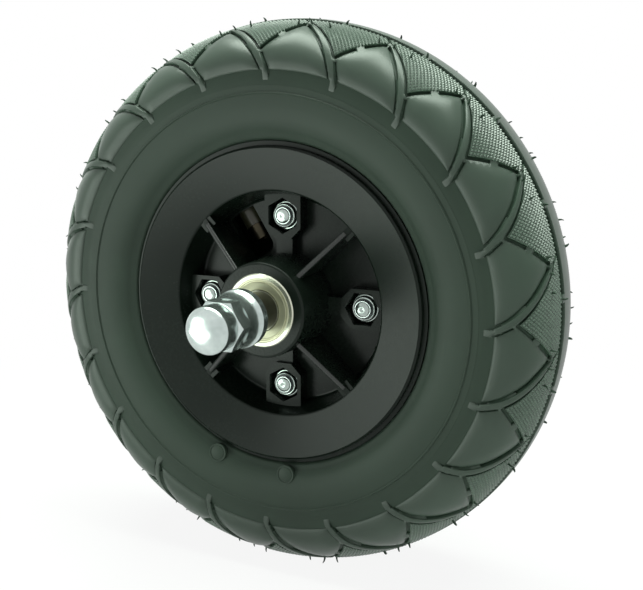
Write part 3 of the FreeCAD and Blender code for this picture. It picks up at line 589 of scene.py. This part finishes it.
def divideSlab(slab, first, last):
    # trims the slab to one pitch and divides it finely enough to bend
    bisectAt(slab, (first, 0, 0), (1, 0, 0), clear_inner=True)
    bisectAt(slab, (last, 0, 0), (1, 0, 0), clear_outer=True)
    end = tyre["valleyEnd"]
    for direction, low, high in (((1, 0, 0), first, last), ((0, 1, 0), -end, end)):
        count = round((high - low) / tyre["cell"])
        for step in range(1, count):
            bisectAt(slab, Vector(direction) * (low + (high - low) * step / count), direction)


def distanceTo(outline, x, y):
    nearest = 1.0
    for (ax, ay), (bx, by) in zip(outline, outline[1:] + outline[:1]):
        length = (bx - ax) ** 2 + (by - ay) ** 2
        share = max(0.0, min(1.0, ((x - ax) * (bx - ax) + (y - ay) * (by - ay)) / length))
        nearest = min(nearest, math.hypot(x - ax - share * (bx - ax), y - ay - share * (by - ay)))
    return nearest


def isInside(outline, x, y):
    inside = False
    for (ax, ay), (bx, by) in zip(outline, outline[1:] + outline[:1]):
        if (ay > y) != (by > y) and x < ax + (y - ay) / (by - ay) * (bx - ax):
            inside = not inside
    return inside


def placed(outline, shift=0.0):
    return [(degreesAlong(turn + shift), along * millimetre) for turn, along in outline]


# the blocks are crowned like cushions, and the knurled fields lie a little lower
cushion = {
    "skin": 1.2 * millimetre,  # what lies deeper is left alone
    "rimWidth": 7.0 * millimetre,
    "rimFall": 1.0 * millimetre,
    "rimPower": 2.2,
    "footStart": 30.6 * millimetre,
    "footLength": 4.0 * millimetre,
    "footFall": 0.14 * millimetre,
    "fieldFall": 0.45 * millimetre,
    "valleyFall": 0.4 * millimetre,
}


def shapeTops(slab):
    shifts = (-pitch, 0, pitch, 2 * pitch)
    blocks = [placed(blockOutline, shift) for shift in shifts]
    fields = [placed(fieldOutline, shift) for shift in shifts]
    for point in slab.data.vertices:
        if point.co.z < -cushion["skin"]:
            continue
        x, y = point.co.x, abs(point.co.y)
        if point.co.y < 0:
            x -= degreesAlong(pitch / 2)
        block = next((outline for outline in blocks if isInside(outline, x, y)), None)
        if block:
            rim = min(distanceTo(block, x, y) / cushion["rimWidth"], 1.0)
            foot = max(0.0, min(1.0, (y - cushion["footStart"]) / cushion["footLength"]))
            point.co.z -= cushion["rimFall"] * (1 - rim) ** cushion["rimPower"]
            point.co.z -= cushion["footFall"] * foot
        elif any(isInside(outline, x, y) for outline in fields):
            point.co.z -= cushion["fieldFall"]
        elif y > tyre["blockEnd"]:
            share = (y - tyre["blockEnd"]) / (tyre["valleyEnd"] - tyre["blockEnd"])
            point.co.z -= cushion["valleyFall"] * share


def makeTread():
    slab = makeTreadPlan()
    bevelGrooves(slab)
    half = degreesAlong(pitch / 2)
    divideSlab(slab, -half, half)
    shapeTops(slab)
    print("one pitch of tread:", len(slab.data.polygons), "faces")
    wrapOnTyre(slab)
    aroundTyre(slab)
    facesOutward(slab)
    shadeSmooth(slab, 40)
    return rename("tyre_tread")


tread = makeTread()
finishPiece(tread, "wheel", treadRubber)
print("tread:", len(tread.data.polygons), "faces")


# the carcass under the tread, with its sidewalls and beads; its lists are in millimetres

carcass = {
    "underTread": 1.55 * millimetre,
    "crownSteps": 26,
    "crownEnd": tyre["blockEnd"] - 2.0 * millimetre,
    "foot": [  # along the section, and height
        (33.4, -1.42), (34.1, -1.22), (34.7, -1.06), (35.4, -0.92),
        (36.3, -0.70), (37.3, -0.44), (38.4, -0.22), (39.4, -0.1),
    ],
    "ringRadius": tyre["crownRadius"] - 26 * millimetre,
    "ringHeight": 0.55 * millimetre,
    "ring": [
        (2.6, 0.15), (0.45, 0.0), (0.2, 0.4675), (0.0, 0.55), (-0.2, 0.4675), (-0.45, -0.02), (-4.0, -0.3),
    ],
    "sidewall": [(-8.0, -1.6), (-11.0, -2.6), (-12.6, -3.6), (-13.8, -5.0)],  # from ring and full width
    "lipRadius": 58.3 * millimetre,
    "lipOut": 20.2 * millimetre,
    "lip": [(0.9, -0.3), (0.0, -1.4), (0.0, -2.7)],
    "hollow": [  # radius and y, from the bead to the crown
        (55.5, -17.2), (55.5, -11.2), (60.2, -11.2), (66.0, -17.0),
        (73.5, -19.0), (84.0, -17.2), (90.5, -11.0), (93.2, 0.0),
    ],
}


def makeCarcass():
    steps, end = carcass["crownSteps"], carcass["crownEnd"]
    front = [onTread(end * step / steps, -carcass["underTread"]) for step in range(steps + 1)]
    front += [onTread(along * millimetre, height * millimetre) for along, height in carcass["foot"]]
    ring, half = carcass["ringRadius"], tyre["halfWidth"]
    flank = beside(ring, half - carcass["ringHeight"], carcass["ring"])
    flank += beside(ring, half, carcass["sidewall"])
    flank += beside(carcass["lipRadius"], carcass["lipOut"], carcass["lip"])
    front += [(radius, -out) for radius, out in flank]
    front += beside(0, 0, carcass["hollow"])
    rear = [(radius, -y) for radius, y in front[::-1] if abs(y) > 1e-9]
    return lathe("tyre_carcass", front + rear, steps=240)


body = makeCarcass()
shadeSmooth(body, 50)
finishPiece(body, "wheel", rubber, ["tyre"])
print("carcass:", len(body.data.polygons), "faces")


# knurled fields between the blocks

knurl = {
    "round": 1.5 * millimetre,  # from diamond to diamond round the tyre
    "across": 1.8 * millimetre,
    "base": -0.50 * millimetre,
    "height": 0.52 * millimetre,
    "thickness": 0.4 * millimetre,
    "margin": 0.55 * millimetre,
    "cells": 38,
    "middle": (-2.6, 16.7),  # degrees and millimetres in one pitch
    "crownSide": 6.7 * millimetre,
    "spare": 1.2 * millimetre,  # kept past the outline until the sheet is cut to it
    "reach": 2.0 * millimetre,  # of the bound, up and down
}


def makeFieldBound(outline):
    # an upright block over one field, drawn in from its edges
    points = [(x, y, -knurl["reach"]) for x, y in outline]
    piece = sketch("fieldBound", points, [], [tuple(range(len(outline)))])
    editAll(piece)
    bpy.ops.mesh.inset(thickness=knurl["margin"], use_even_offset=True)
    bpy.ops.mesh.select_all(action="INVERT")
    bpy.ops.mesh.delete(type="FACE")
    bpy.ops.mesh.select_all(action="SELECT")
    extrudeBy((0, 0, 2 * knurl["reach"]))
    doneEditing()
    facesOutward(piece)
    return piece


def makeKnurl(name, side):
    # a sheet of diamonds, each raised to a point, cut to the outline of one field
    cells, cell = knurl["cells"], 1.0 * millimetre
    bpy.ops.mesh.primitive_grid_add(
        x_subdivisions=cells, y_subdivisions=cells, size=cells * cell, rotation=(0, 0, math.pi / 4),
    )
    sheet = settle(rename(name))
    diagonal = cell * math.sqrt(2)
    turn, along = knurl["middle"]
    sheet.scale = (knurl["round"] / diagonal, knurl["across"] / diagonal, 1)
    sheet.location = (degreesAlong(turn), along * millimetre, knurl["base"])
    settle(sheet)
    outline = [(x, max(y, knurl["crownSide"])) for x, y in placed(fieldOutline)]

    def isSpare(face):
        x, y = face.center.x, face.center.y
        return not isInside(outline, x, y) and distanceTo(outline, x, y) > knurl["spare"]

    editSome(sheet, "FACE", isSpare)
    bpy.ops.mesh.delete(type="FACE")
    bpy.ops.mesh.select_all(action="SELECT")
    extrudeBy((0, 0, knurl["thickness"]))
    bpy.ops.mesh.poke(offset=knurl["height"])
    doneEditing()
    sheet.data.transform(Matrix.Translation((0, 0, -knurl["thickness"])))
    facesOutward(sheet)
    combine(sheet, makeFieldBound(outline), "INTERSECT")
    shift = degreesAlong(sideShift(side))
    for point in sheet.data.vertices:
        point.co = (point.co.x + shift, side * point.co.y, point.co.z)
    wrapOnTyre(sheet)
    aroundTyre(sheet)
    facesOutward(sheet)
    return sheet


for name, side in (("tread_knurl_front", 1), ("tread_knurl_rear", -1)):
    finishPiece(makeKnurl(name, side), "wheel", knurlRubber)


# hairs left by the mould's vents

hair = {
    "radius": 0.40 * millimetre,
    "lengths": (1.6 * millimetre, 2.5 * millimetre),
    "rooted": 0.5 * millimetre,
    "bends": [(0.4, 0.04, 0.85), (0.35, 0.12, 0.8), (0.25, 0.22, 0.6)],  # share, lean and narrowing
    "places": [(-8.9, 12.8), (-5.2, 12.7), (5.9, 13.0)],  # degrees and millimetres in one pitch
    "wander": 0.3,  # degrees
    "bridge": (-3.5, 6.2),  # degrees and millimetres: the stub in each crown groove
    "bridgeLength": 1.8 * millimetre,
    "bridgeRadius": 0.55 * millimetre,
}


def makeHair(length, radius):
    # one hair on end, thinner and bent over towards its tip
    bpy.ops.mesh.primitive_circle_add(
        vertices=6, radius=radius, fill_type="NGON", location=(0, 0, -hair["rooted"]),
    )
    piece = settle(rename("hair"))
    editAll(piece)
    for share, lean, narrow in hair["bends"]:
        extrudeBy((length * lean, 0, length * share))
        bpy.ops.transform.resize(value=(narrow, narrow, 1))
    doneEditing()
    facesOutward(piece)
    return piece


def standOnTread(piece, turn, along):
    # takes a piece on end to its place on the tread, upright on the rubber there
    angle = math.radians(turn)
    foot, tip = (
        Vector((radius * math.sin(angle), y, radius * math.cos(angle)))
        for radius, y in (onTread(along), onTread(along, 1 * millimetre))
    )
    upright = (tip - foot).to_track_quat("Z", "Y").to_matrix().to_4x4()
    spun = Matrix.Rotation(random.uniform(0, math.tau), 4, "Z")
    piece.data.transform(Matrix.Translation(foot) @ upright @ spun)


hairs = []
for side in (1, -1):
    for count in range(tyre["pitches"]):
        start = count * pitch + tyre["phase"] + sideShift(side)
        for turn, along in hair["places"]:
            hairs.append(makeHair(random.uniform(*hair["lengths"]), hair["radius"]))
            wander = random.uniform(-hair["wander"], hair["wander"])
            standOnTread(hairs[-1], start + turn + wander, side * along * millimetre)
        turn, along = hair["bridge"]
        hairs.append(makeHair(hair["bridgeLength"], hair["bridgeRadius"]))
        standOnTread(hairs[-1], start + turn, side * along * millimetre)
finishPiece(joined(hairs, "vent_hairs"), "wheel", rubber)
print("hairs made:", len(hairs))


# round plugs of the mould, on the front sidewall

plug = {
    "radius": 3.4 * millimetre,
    "rim": 0.45 * millimetre,
    "height": 0.22 * millimetre,
    "raised": 0.7,  # share of the height that the middle comes up again
    "thickness": 2.0 * millimetre,
    "ringRadius": 62 * millimetre,
    "out": tyre["halfWidth"] - 4.2 * millimetre,
    "lean": 10,  # degrees, as the sidewall falls away towards the rim
    "turns": (-159, 174),  # degrees
    "bevel": 0.09 * millimetre,
}


def makePlug(turn):
    thickness = plug["thickness"]
    bpy.ops.mesh.primitive_cylinder_add(
        vertices=40, radius=plug["radius"], depth=thickness, location=(0, 0, thickness / 2),
    )
    piece = settle(rename("plug"))
    editSome(piece, "FACE", lambda face: face.normal.z > 0.9)
    bpy.ops.mesh.inset(thickness=plug["rim"])
    extrudeBy((0, 0, -plug["height"]))
    bpy.ops.mesh.inset(thickness=plug["rim"])
    extrudeBy((0, 0, plug["height"] * plug["raised"]))
    doneEditing()
    bevelCorners(piece, plug["bevel"], 40)
    facesOutward(piece)
    piece.data.transform(
        Matrix.Rotation(math.radians(turn), 4, "Y")
        @ Matrix.Translation((0, -plug["out"], plug["ringRadius"]))
        @ Matrix.Rotation(math.pi / 2, 4, "X")
        @ Matrix.Rotation(math.radians(plug["lean"]), 4, "X")
    )
    return piece


plugs = joined([makePlug(turn) for turn in plug["turns"]], "mould_plugs")
shadeSmooth(plugs, 40)
finishPiece(plugs, "wheel", rubber)
print("mould plugs made")


# clamp nuts with turned corners and a rolled collar, and the round ends of their screws

nutLow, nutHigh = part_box("clamp_nuts")
clampNut = {
    "flats": 10.0 * millimetre,
    "front": nutLow.y,
    "seat": max(nutLow.y, -4.5 * millimetre),
    "hexHeight": 4.2 * millimetre,
    "collar": 4.4 * millimetre,
    "bore": 3.05 * millimetre,
    "insert": 3.8 * millimetre,
    "bevel": 0.12 * millimetre,
    "barLength": 30.0 * millimetre,  # of the six-sided bar that the nut is cut from
    "barMiddle": -8.0 * millimetre,
    "count": 4,
}
clampNut["corner"] = clampNut["flats"] / 2 / math.cos(math.pi / 6)
clampNut["circle"] = nutHigh.z - clampNut["corner"]


def aroundAxle(piece, name, count, out):
    # moves a piece out from the axle and makes its turned copies
    piece.data.transform(Matrix.Translation((0, 0, out)))
    copies = [piece]
    for step in range(1, count):
        copy = addObject("copy", piece.data.copy())
        copy.data.transform(Matrix.Rotation(math.tau * step / count, 4, "Y"))
        copies.append(copy)
    return joined(copies, name)


def makeHexagon(corner, depth, middle):
    bpy.ops.mesh.primitive_cylinder_add(
        vertices=6, radius=corner, depth=depth, location=(0, middle, 0), rotation=(math.pi / 2, 0, 0),
    )
    return settle(rename("hexagon"))


def makeClampNut():
    front, seat, corner = clampNut["front"], clampNut["seat"], clampNut["corner"]
    hexFront = seat - clampNut["hexHeight"]
    collar, insert, bore = clampNut["collar"], clampNut["insert"], clampNut["bore"]
    blank = lathe("blank", [
        (bore, seat),
        *beside(corner, seat, [(-0.8, 0.0), (0.2, -0.5)]),
        *beside(corner, hexFront, [(0.2, 0.6), (-0.9, 0.0)]),
        *beside(collar, hexFront, [(0.2, 0.0), (0.0, -0.3)]),
        *beside(collar, front, [(0.0, 0.5), (-0.15, 0.15), (-0.4, 0.0)]),
        *beside(insert, front, [(-0.1, 0.1), (-0.2, 0.4), (0.0, 0.5), (0.0, 1.8)]),
        *beside(bore, front, [(0.0, 1.9)]),
    ], steps=64)
    nut = makeHexagon(corner, clampNut["barLength"], clampNut["barMiddle"])
    combine(nut, blank, "INTERSECT")
    bevelCorners(nut, clampNut["bevel"], 25)
    facesOutward(nut)
    return nut


nuts = aroundAxle(makeClampNut(), "clamp_nuts_detailed", clampNut["count"], clampNut["circle"])
shadeSmooth(nuts, 30)
# the nuts take the darker zinc, which paints the shade of their pockets
finishPiece(nuts, "wheel", shadedNutZinc, ["clamp_nuts"])

screwEnd = {
    "radius": 2.75 * millimetre,
    "tip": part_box("clamp_screws")[0].y,
    "foot": [(0.0, 0.6), (0.0, 0.1)],  # at the full radius, from the tip; millimetres
    "rise": 0.7 * millimetre,
    "flat": 0.25,  # share of the radius that stays flat in the middle
    "dimple": [(0.12, 0.86), (0.0, 0.80)],  # shares of radius and rise
    "steps": 6,
}


def makeScrewEnd():
    tip, radius, rise, flat = (screwEnd[key] for key in ("tip", "radius", "rise", "flat"))
    outline = beside(0.0, tip, screwEnd["foot"][:1]) + beside(radius, tip, screwEnd["foot"])
    for step in range(1, screwEnd["steps"] + 1):
        angle = math.pi / 2 * step / screwEnd["steps"]
        outline.append((radius * (flat + (1 - flat) * math.cos(angle)), tip - rise * math.sin(angle)))
    outline += [(radius * across, tip - rise * along) for across, along in screwEnd["dimple"]]
    return lathe("screwEnd", outline, steps=40)


ends = aroundAxle(makeScrewEnd(), "clamp_screw_ends", clampNut["count"], clampNut["circle"])
shadeSmooth(ends, 50)
finishPiece(ends, "wheel", shadedNutZinc)
print("clamp nuts and screw ends made")


# bearing shields with a crimped rim, a step and small stamped notches; the lists are in millimetres

shield = {
    "rim": 11.35 * millimetre,
    "crimp": [
        (0, 0.6), (0, 0.22), (-0.25, 0.08), (-0.6, 0.08),
        (-0.8, 0.2), (-0.9, 0.45), (-1.05, 0.45), (-1.2, 0.18),
    ],
    "step": 9.9 * millimetre,
    "stepFront": [(0.2, 0.15), (0, 0.22), (-0.2, 0.34)],
    "stepBack": [(-0.3, 0.7), (0.1, 0.6)],
    "hole": 7.35 * millimetre,
    "lip": [(0.4, 0.36), (0.1, 0.5), (0, 0.8), (0.2, 0.8)],
    "notches": 8,
    "notchStart": 0.3,  # shares of the way from notch to notch
    "notchIn": 0.95 * millimetre,
    "notchSize": (1.1 * millimetre, 1.1 * millimetre, 0.5 * millimetre),
}


def makeShield(name, side):
    # side -1 is the front; the shield lies just inside the bearing's face
    low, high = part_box(f"{name}_bearing_outer_ring")
    face = abs(low.y if side < 0 else high.y)
    section = beside(shield["rim"], 0, shield["crimp"]) + beside(shield["step"], 0, shield["stepFront"])
    section += beside(shield["hole"], 0, shield["lip"]) + beside(shield["step"], 0, shield["stepBack"])
    piece = lathe("shield", [(radius, side * (face - depth)) for radius, depth in section], steps=128)
    away = shield["rim"] - shield["notchIn"]
    for count in range(shield["notches"]):
        turn = math.tau * (count + shield["notchStart"]) / shield["notches"]
        bpy.ops.mesh.primitive_cube_add(
            size=1,
            location=(away * math.sin(turn), side * face, away * math.cos(turn)),
            rotation=(0, turn, 0),
            scale=shield["notchSize"],
        )
        combine(piece, settle(rename("notch")), "DIFFERENCE")
    facesOutward(piece)
    shadeSmooth(piece, 35)
    return rename(f"{name}_bearing_shield_pressed")


for name, side in (("front", -1), ("rear", 1)):
    outerShield = f"{name}_bearing_outer_shield"
    finishPiece(makeShield(name, side), "wheel", shieldSteel, [outerShield])
print("bearing shields made")


# rounded crest on each of the front rim's ribs

ribCrest = {
    "radius": 0.95 * millimetre,
    "sunk": 0.45 * millimetre,
    "start": (15.5 * millimetre, 23.64 * millimetre),  # from the axle, out
    "end": (38.6 * millimetre, 18.13 * millimetre),
    "count": 4,
    "turn": 45,  # degrees
}


def makeRibCrests():
    crests = []
    for number in range(ribCrest["count"]):
        turn = math.radians(ribCrest["turn"] + 360 * number / ribCrest["count"])
        inner, outer = (
            Vector((radius * math.cos(turn), ribCrest["sunk"] - out, radius * math.sin(turn)))
            for radius, out in (ribCrest["start"], ribCrest["end"])
        )
        along = outer - inner
        bpy.ops.mesh.primitive_cylinder_add(
            vertices=32, radius=ribCrest["radius"], depth=along.length,
            location=(inner + outer) / 2, rotation=along.to_track_quat("Z", "Y").to_euler(),
        )
        crests.append(settle(rename("ribCrest")))
    return joined(crests, "front_rib_crests")


crests = makeRibCrests()
shadeSmooth(crests, 40)
finishPiece(crests, "wheel", ribPlastic)
print("rib crests made")


# cap nuts: a flared collar, a hexagon with turned corners and a dome

capNut = {
    "flats": 16.0 * millimetre,
    "turn": 30,  # degrees
    "collarHeight": 7.3 * millimetre,
    "flare": [  # radius and out from the seat, millimetres
        (10.0, 0.0), (10.0, 0.8), (9.85, 1.0), (9.45, 1.5), (9.05, 2.2),
        (8.7, 3.2), (8.42, 4.6), (8.3, 6.0), (8.25, 7.3),
    ],
    "hexHeight": 6.0 * millimetre,
    "hexBore": 6.5 * millimetre,
    "dome": 7.9 * millimetre,
    "domeHeight": 5.0 * millimetre,
    "domeSide": 1.9 * millimetre,
    "domeSquareness": (2.3, 1.9),  # two is round, and more is squarer: across, along
    "domeSteps": 24,
    "bore": 5.06 * millimetre,
    "boreDepth": 18.0 * millimetre,
    "bevel": 0.16 * millimetre,
    "barLength": 20.0 * millimetre,  # of the six-sided bar that the hexagon is cut from
}


def capNutTurning(seat, tip, hexStart, hexEnd):
    # the round body, as (radius, out)
    dome, bore, depth = capNut["dome"], capNut["bore"], capNut["boreDepth"]
    outline = [(bore, seat)] + beside(0, seat, capNut["flare"]) + [(dome, hexStart)]
    outline += beside(dome, hexEnd, [(0.0, 0.0), (-0.12, 0.3), (0.0, 0.6)])
    crown = capNut["domeHeight"] - capNut["domeSide"]
    across, along = (2 / squareness for squareness in capNut["domeSquareness"])
    for step in range(capNut["domeSteps"] + 1):
        angle = math.pi / 2 * step / capNut["domeSteps"]
        outline.append((dome * math.cos(angle) ** across, tip - crown * (1 - math.sin(angle) ** along)))
    return outline + [(0.0, seat + depth), (bore, seat + depth)]


def makeCapNut(name, side):
    # side -1 is the front
    low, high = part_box(f"{name}_cap_nut")
    seat, tip = sorted((abs(low.y), abs(high.y)))
    hexStart = seat + capNut["collarHeight"]
    hexEnd = hexStart + capNut["hexHeight"]
    outline = capNutTurning(seat, tip, hexStart, hexEnd)
    nut = lathe("capNut", [(radius, side * out) for radius, out in outline], steps=96)
    corner, bore = capNut["flats"] / 2 / math.cos(math.pi / 6), capNut["hexBore"]
    outline = [(bore, hexStart)] + beside(corner, hexStart, [(-0.5, 0.0), (0.2, 0.3)])
    outline += beside(corner, hexEnd, [(0.2, -0.8)]) + beside(capNut["dome"], hexEnd, [(0.05, 0.0)])
    outline.append((bore, hexEnd))
    blank = lathe("blank", [(radius, side * out) for radius, out in outline], steps=96)
    hexagon = makeHexagon(corner, capNut["barLength"], side * (hexStart + hexEnd) / 2)
    hexagon.data.transform(Matrix.Rotation(math.radians(capNut["turn"]), 4, "Y"))
    combine(hexagon, blank, "INTERSECT")
    bevelCorners(hexagon, capNut["bevel"], 20)
    combine(nut, hexagon, "UNION")
    facesOutward(nut)
    shadeSmooth(nut, 28)
    return rename(f"{name}_cap_nut_turned")


for name, side in (("front", -1), ("rear", 1)):
    finishPiece(makeCapNut(name, side), "axle", zinc, [f"{name}_cap_nut"])
print("cap nuts made")


# camera: a little above the wheel's middle and to the right of its front

view = {
    "azimuth": 25.32,  # degrees
    "elevation": 11.13,
    "roll": -0.16,
    "lens": 51.1726,  # millimetres
    "sensor": 36,
    "nearest": 0.01,  # metres from here on
    "away": 0.3424,  # from the middle of the wheel
    "right": -0.00913,
    "up": -0.00052,
}


def makeCamera():
    azimuth, elevation, roll = (math.radians(view[key]) for key in ("azimuth", "elevation", "roll"))
    level = math.cos(elevation)
    back = Vector((math.sin(azimuth) * level, -math.cos(azimuth) * level, math.sin(elevation)))
    right = Vector((math.cos(azimuth), math.sin(azimuth), 0))
    up = back.cross(right)
    place = back * view["away"] - right * view["right"] - up * view["up"]
    turnedRight = right * math.cos(roll) - up * math.sin(roll)
    turnedUp = right * math.sin(roll) + up * math.cos(roll)
    camera = bpy.data.cameras.new("camera")
    camera.lens, camera.sensor_width, camera.clip_start = view["lens"], view["sensor"], view["nearest"]
    holder = addObject("camera", camera)
    columns = (turnedRight, turnedUp, back, place)
    holder.matrix_world = Matrix([[column[row] for column in columns] for row in range(3)] + [[0, 0, 0, 1]])
    bpy.context.scene.camera = holder


# floor, world and lamps

studio = {
    "floorSize": 6,
    "floorUp": 1.8 * millimetre,  # from the tyre's lowest solid point, so that the rubber stands on it
    "floorTones": ((0.82, 0.83, 0.82), (0.85, 0.86, 0.85)),
    "shadowShare": 0.10,
    "shadowFade": (0.08, 0.34),  # only the floor round the wheel takes its shadow
    "light": (0.86, 1, 0.88),
    "lightStrength": 0.24,
    "white": (1, 1, 1),
}
lamps = {
    "overhead": {
        "place": (0, 0.05, 0.9), "aim": (0, 0, 0), "size": (1.05, 0.5),
        "power": 18.0, "tint": (0.88, 1, 0.89),
    },
    "front": {
        "place": (-0.345, -0.40, -0.01), "aim": (0.02, 0, 0), "size": (0.26, 0.22),
        "power": 0.68, "tint": (0.88, 1, 0.90),
    },
    "bounce": {
        "place": (-0.26, -0.31, -0.095), "aim": (-0.26, -0.31, 1), "size": (0.30, 0.24),
        "power": 1.2, "tint": (0.88, 1, 0.90),
    },
    "left": {
        "place": (-1.15, 0.50, 0.12), "aim": (0, 0, 0), "size": (0.5, 0.5),
        "power": 0.45, "tint": (0.86, 1, 0.88),
    },
}


def makeFloor():
    level = tyreLow.z + studio["floorUp"]
    bpy.ops.mesh.primitive_grid_add(
        x_subdivisions=8, y_subdivisions=8, size=studio["floorSize"], location=(0, 0, level),
    )
    floor = settle(rename("floor"))
    shader = Shader("floorWhite")
    away = shader.distance(scale=(1, 1, 0)).clamped(*studio["shadowFade"])
    share = 1 - studio["shadowShare"] + away * studio["shadowShare"]
    tone = shader.mixed(shader.noise(scale=3), *(colour(*tint) for tint in studio["floorTones"]))
    matt = shader.node("ShaderNodeBsdfDiffuse", {}, {"Color": tone})
    white = shader.node("ShaderNodeEmission", {}, {"Color": colour(*studio["white"]), "Strength": 1.0})
    floor.data.materials.append(shader.blended(shader.seenDirectly() * share, matt, white))


def makeWorld():
    shader = Shader("studio", world=True)
    lightValues = {"Color": colour(*studio["light"]), "Strength": studio["lightStrength"]}
    light = shader.node("ShaderNodeBackground", {}, lightValues)
    white = shader.node("ShaderNodeBackground", {}, {"Color": colour(*studio["white"]), "Strength": 1.0})
    bpy.context.scene.world = shader.blended(shader.seenDirectly(), light, white)


def addLamp(name, place, aim, size, power, tint):
    lamp = bpy.data.lights.new(name, "AREA")
    lamp.shape, lamp.size, lamp.size_y = "RECTANGLE", size[0], size[1]
    lamp.energy, lamp.color = power, tint
    holder = addObject(name, lamp)
    holder.location = place
    holder.rotation_mode = "QUATERNION"
    holder.rotation_quaternion = (Vector(place) - Vector(aim)).to_track_quat("Z", "Y")


makeCamera()
makeFloor()
makeWorld()
for name, lamp in lamps.items():
    addLamp(name, **lamp)
bpy.context.scene.view_settings.view_transform = "Standard"
print("camera, floor and lights made")
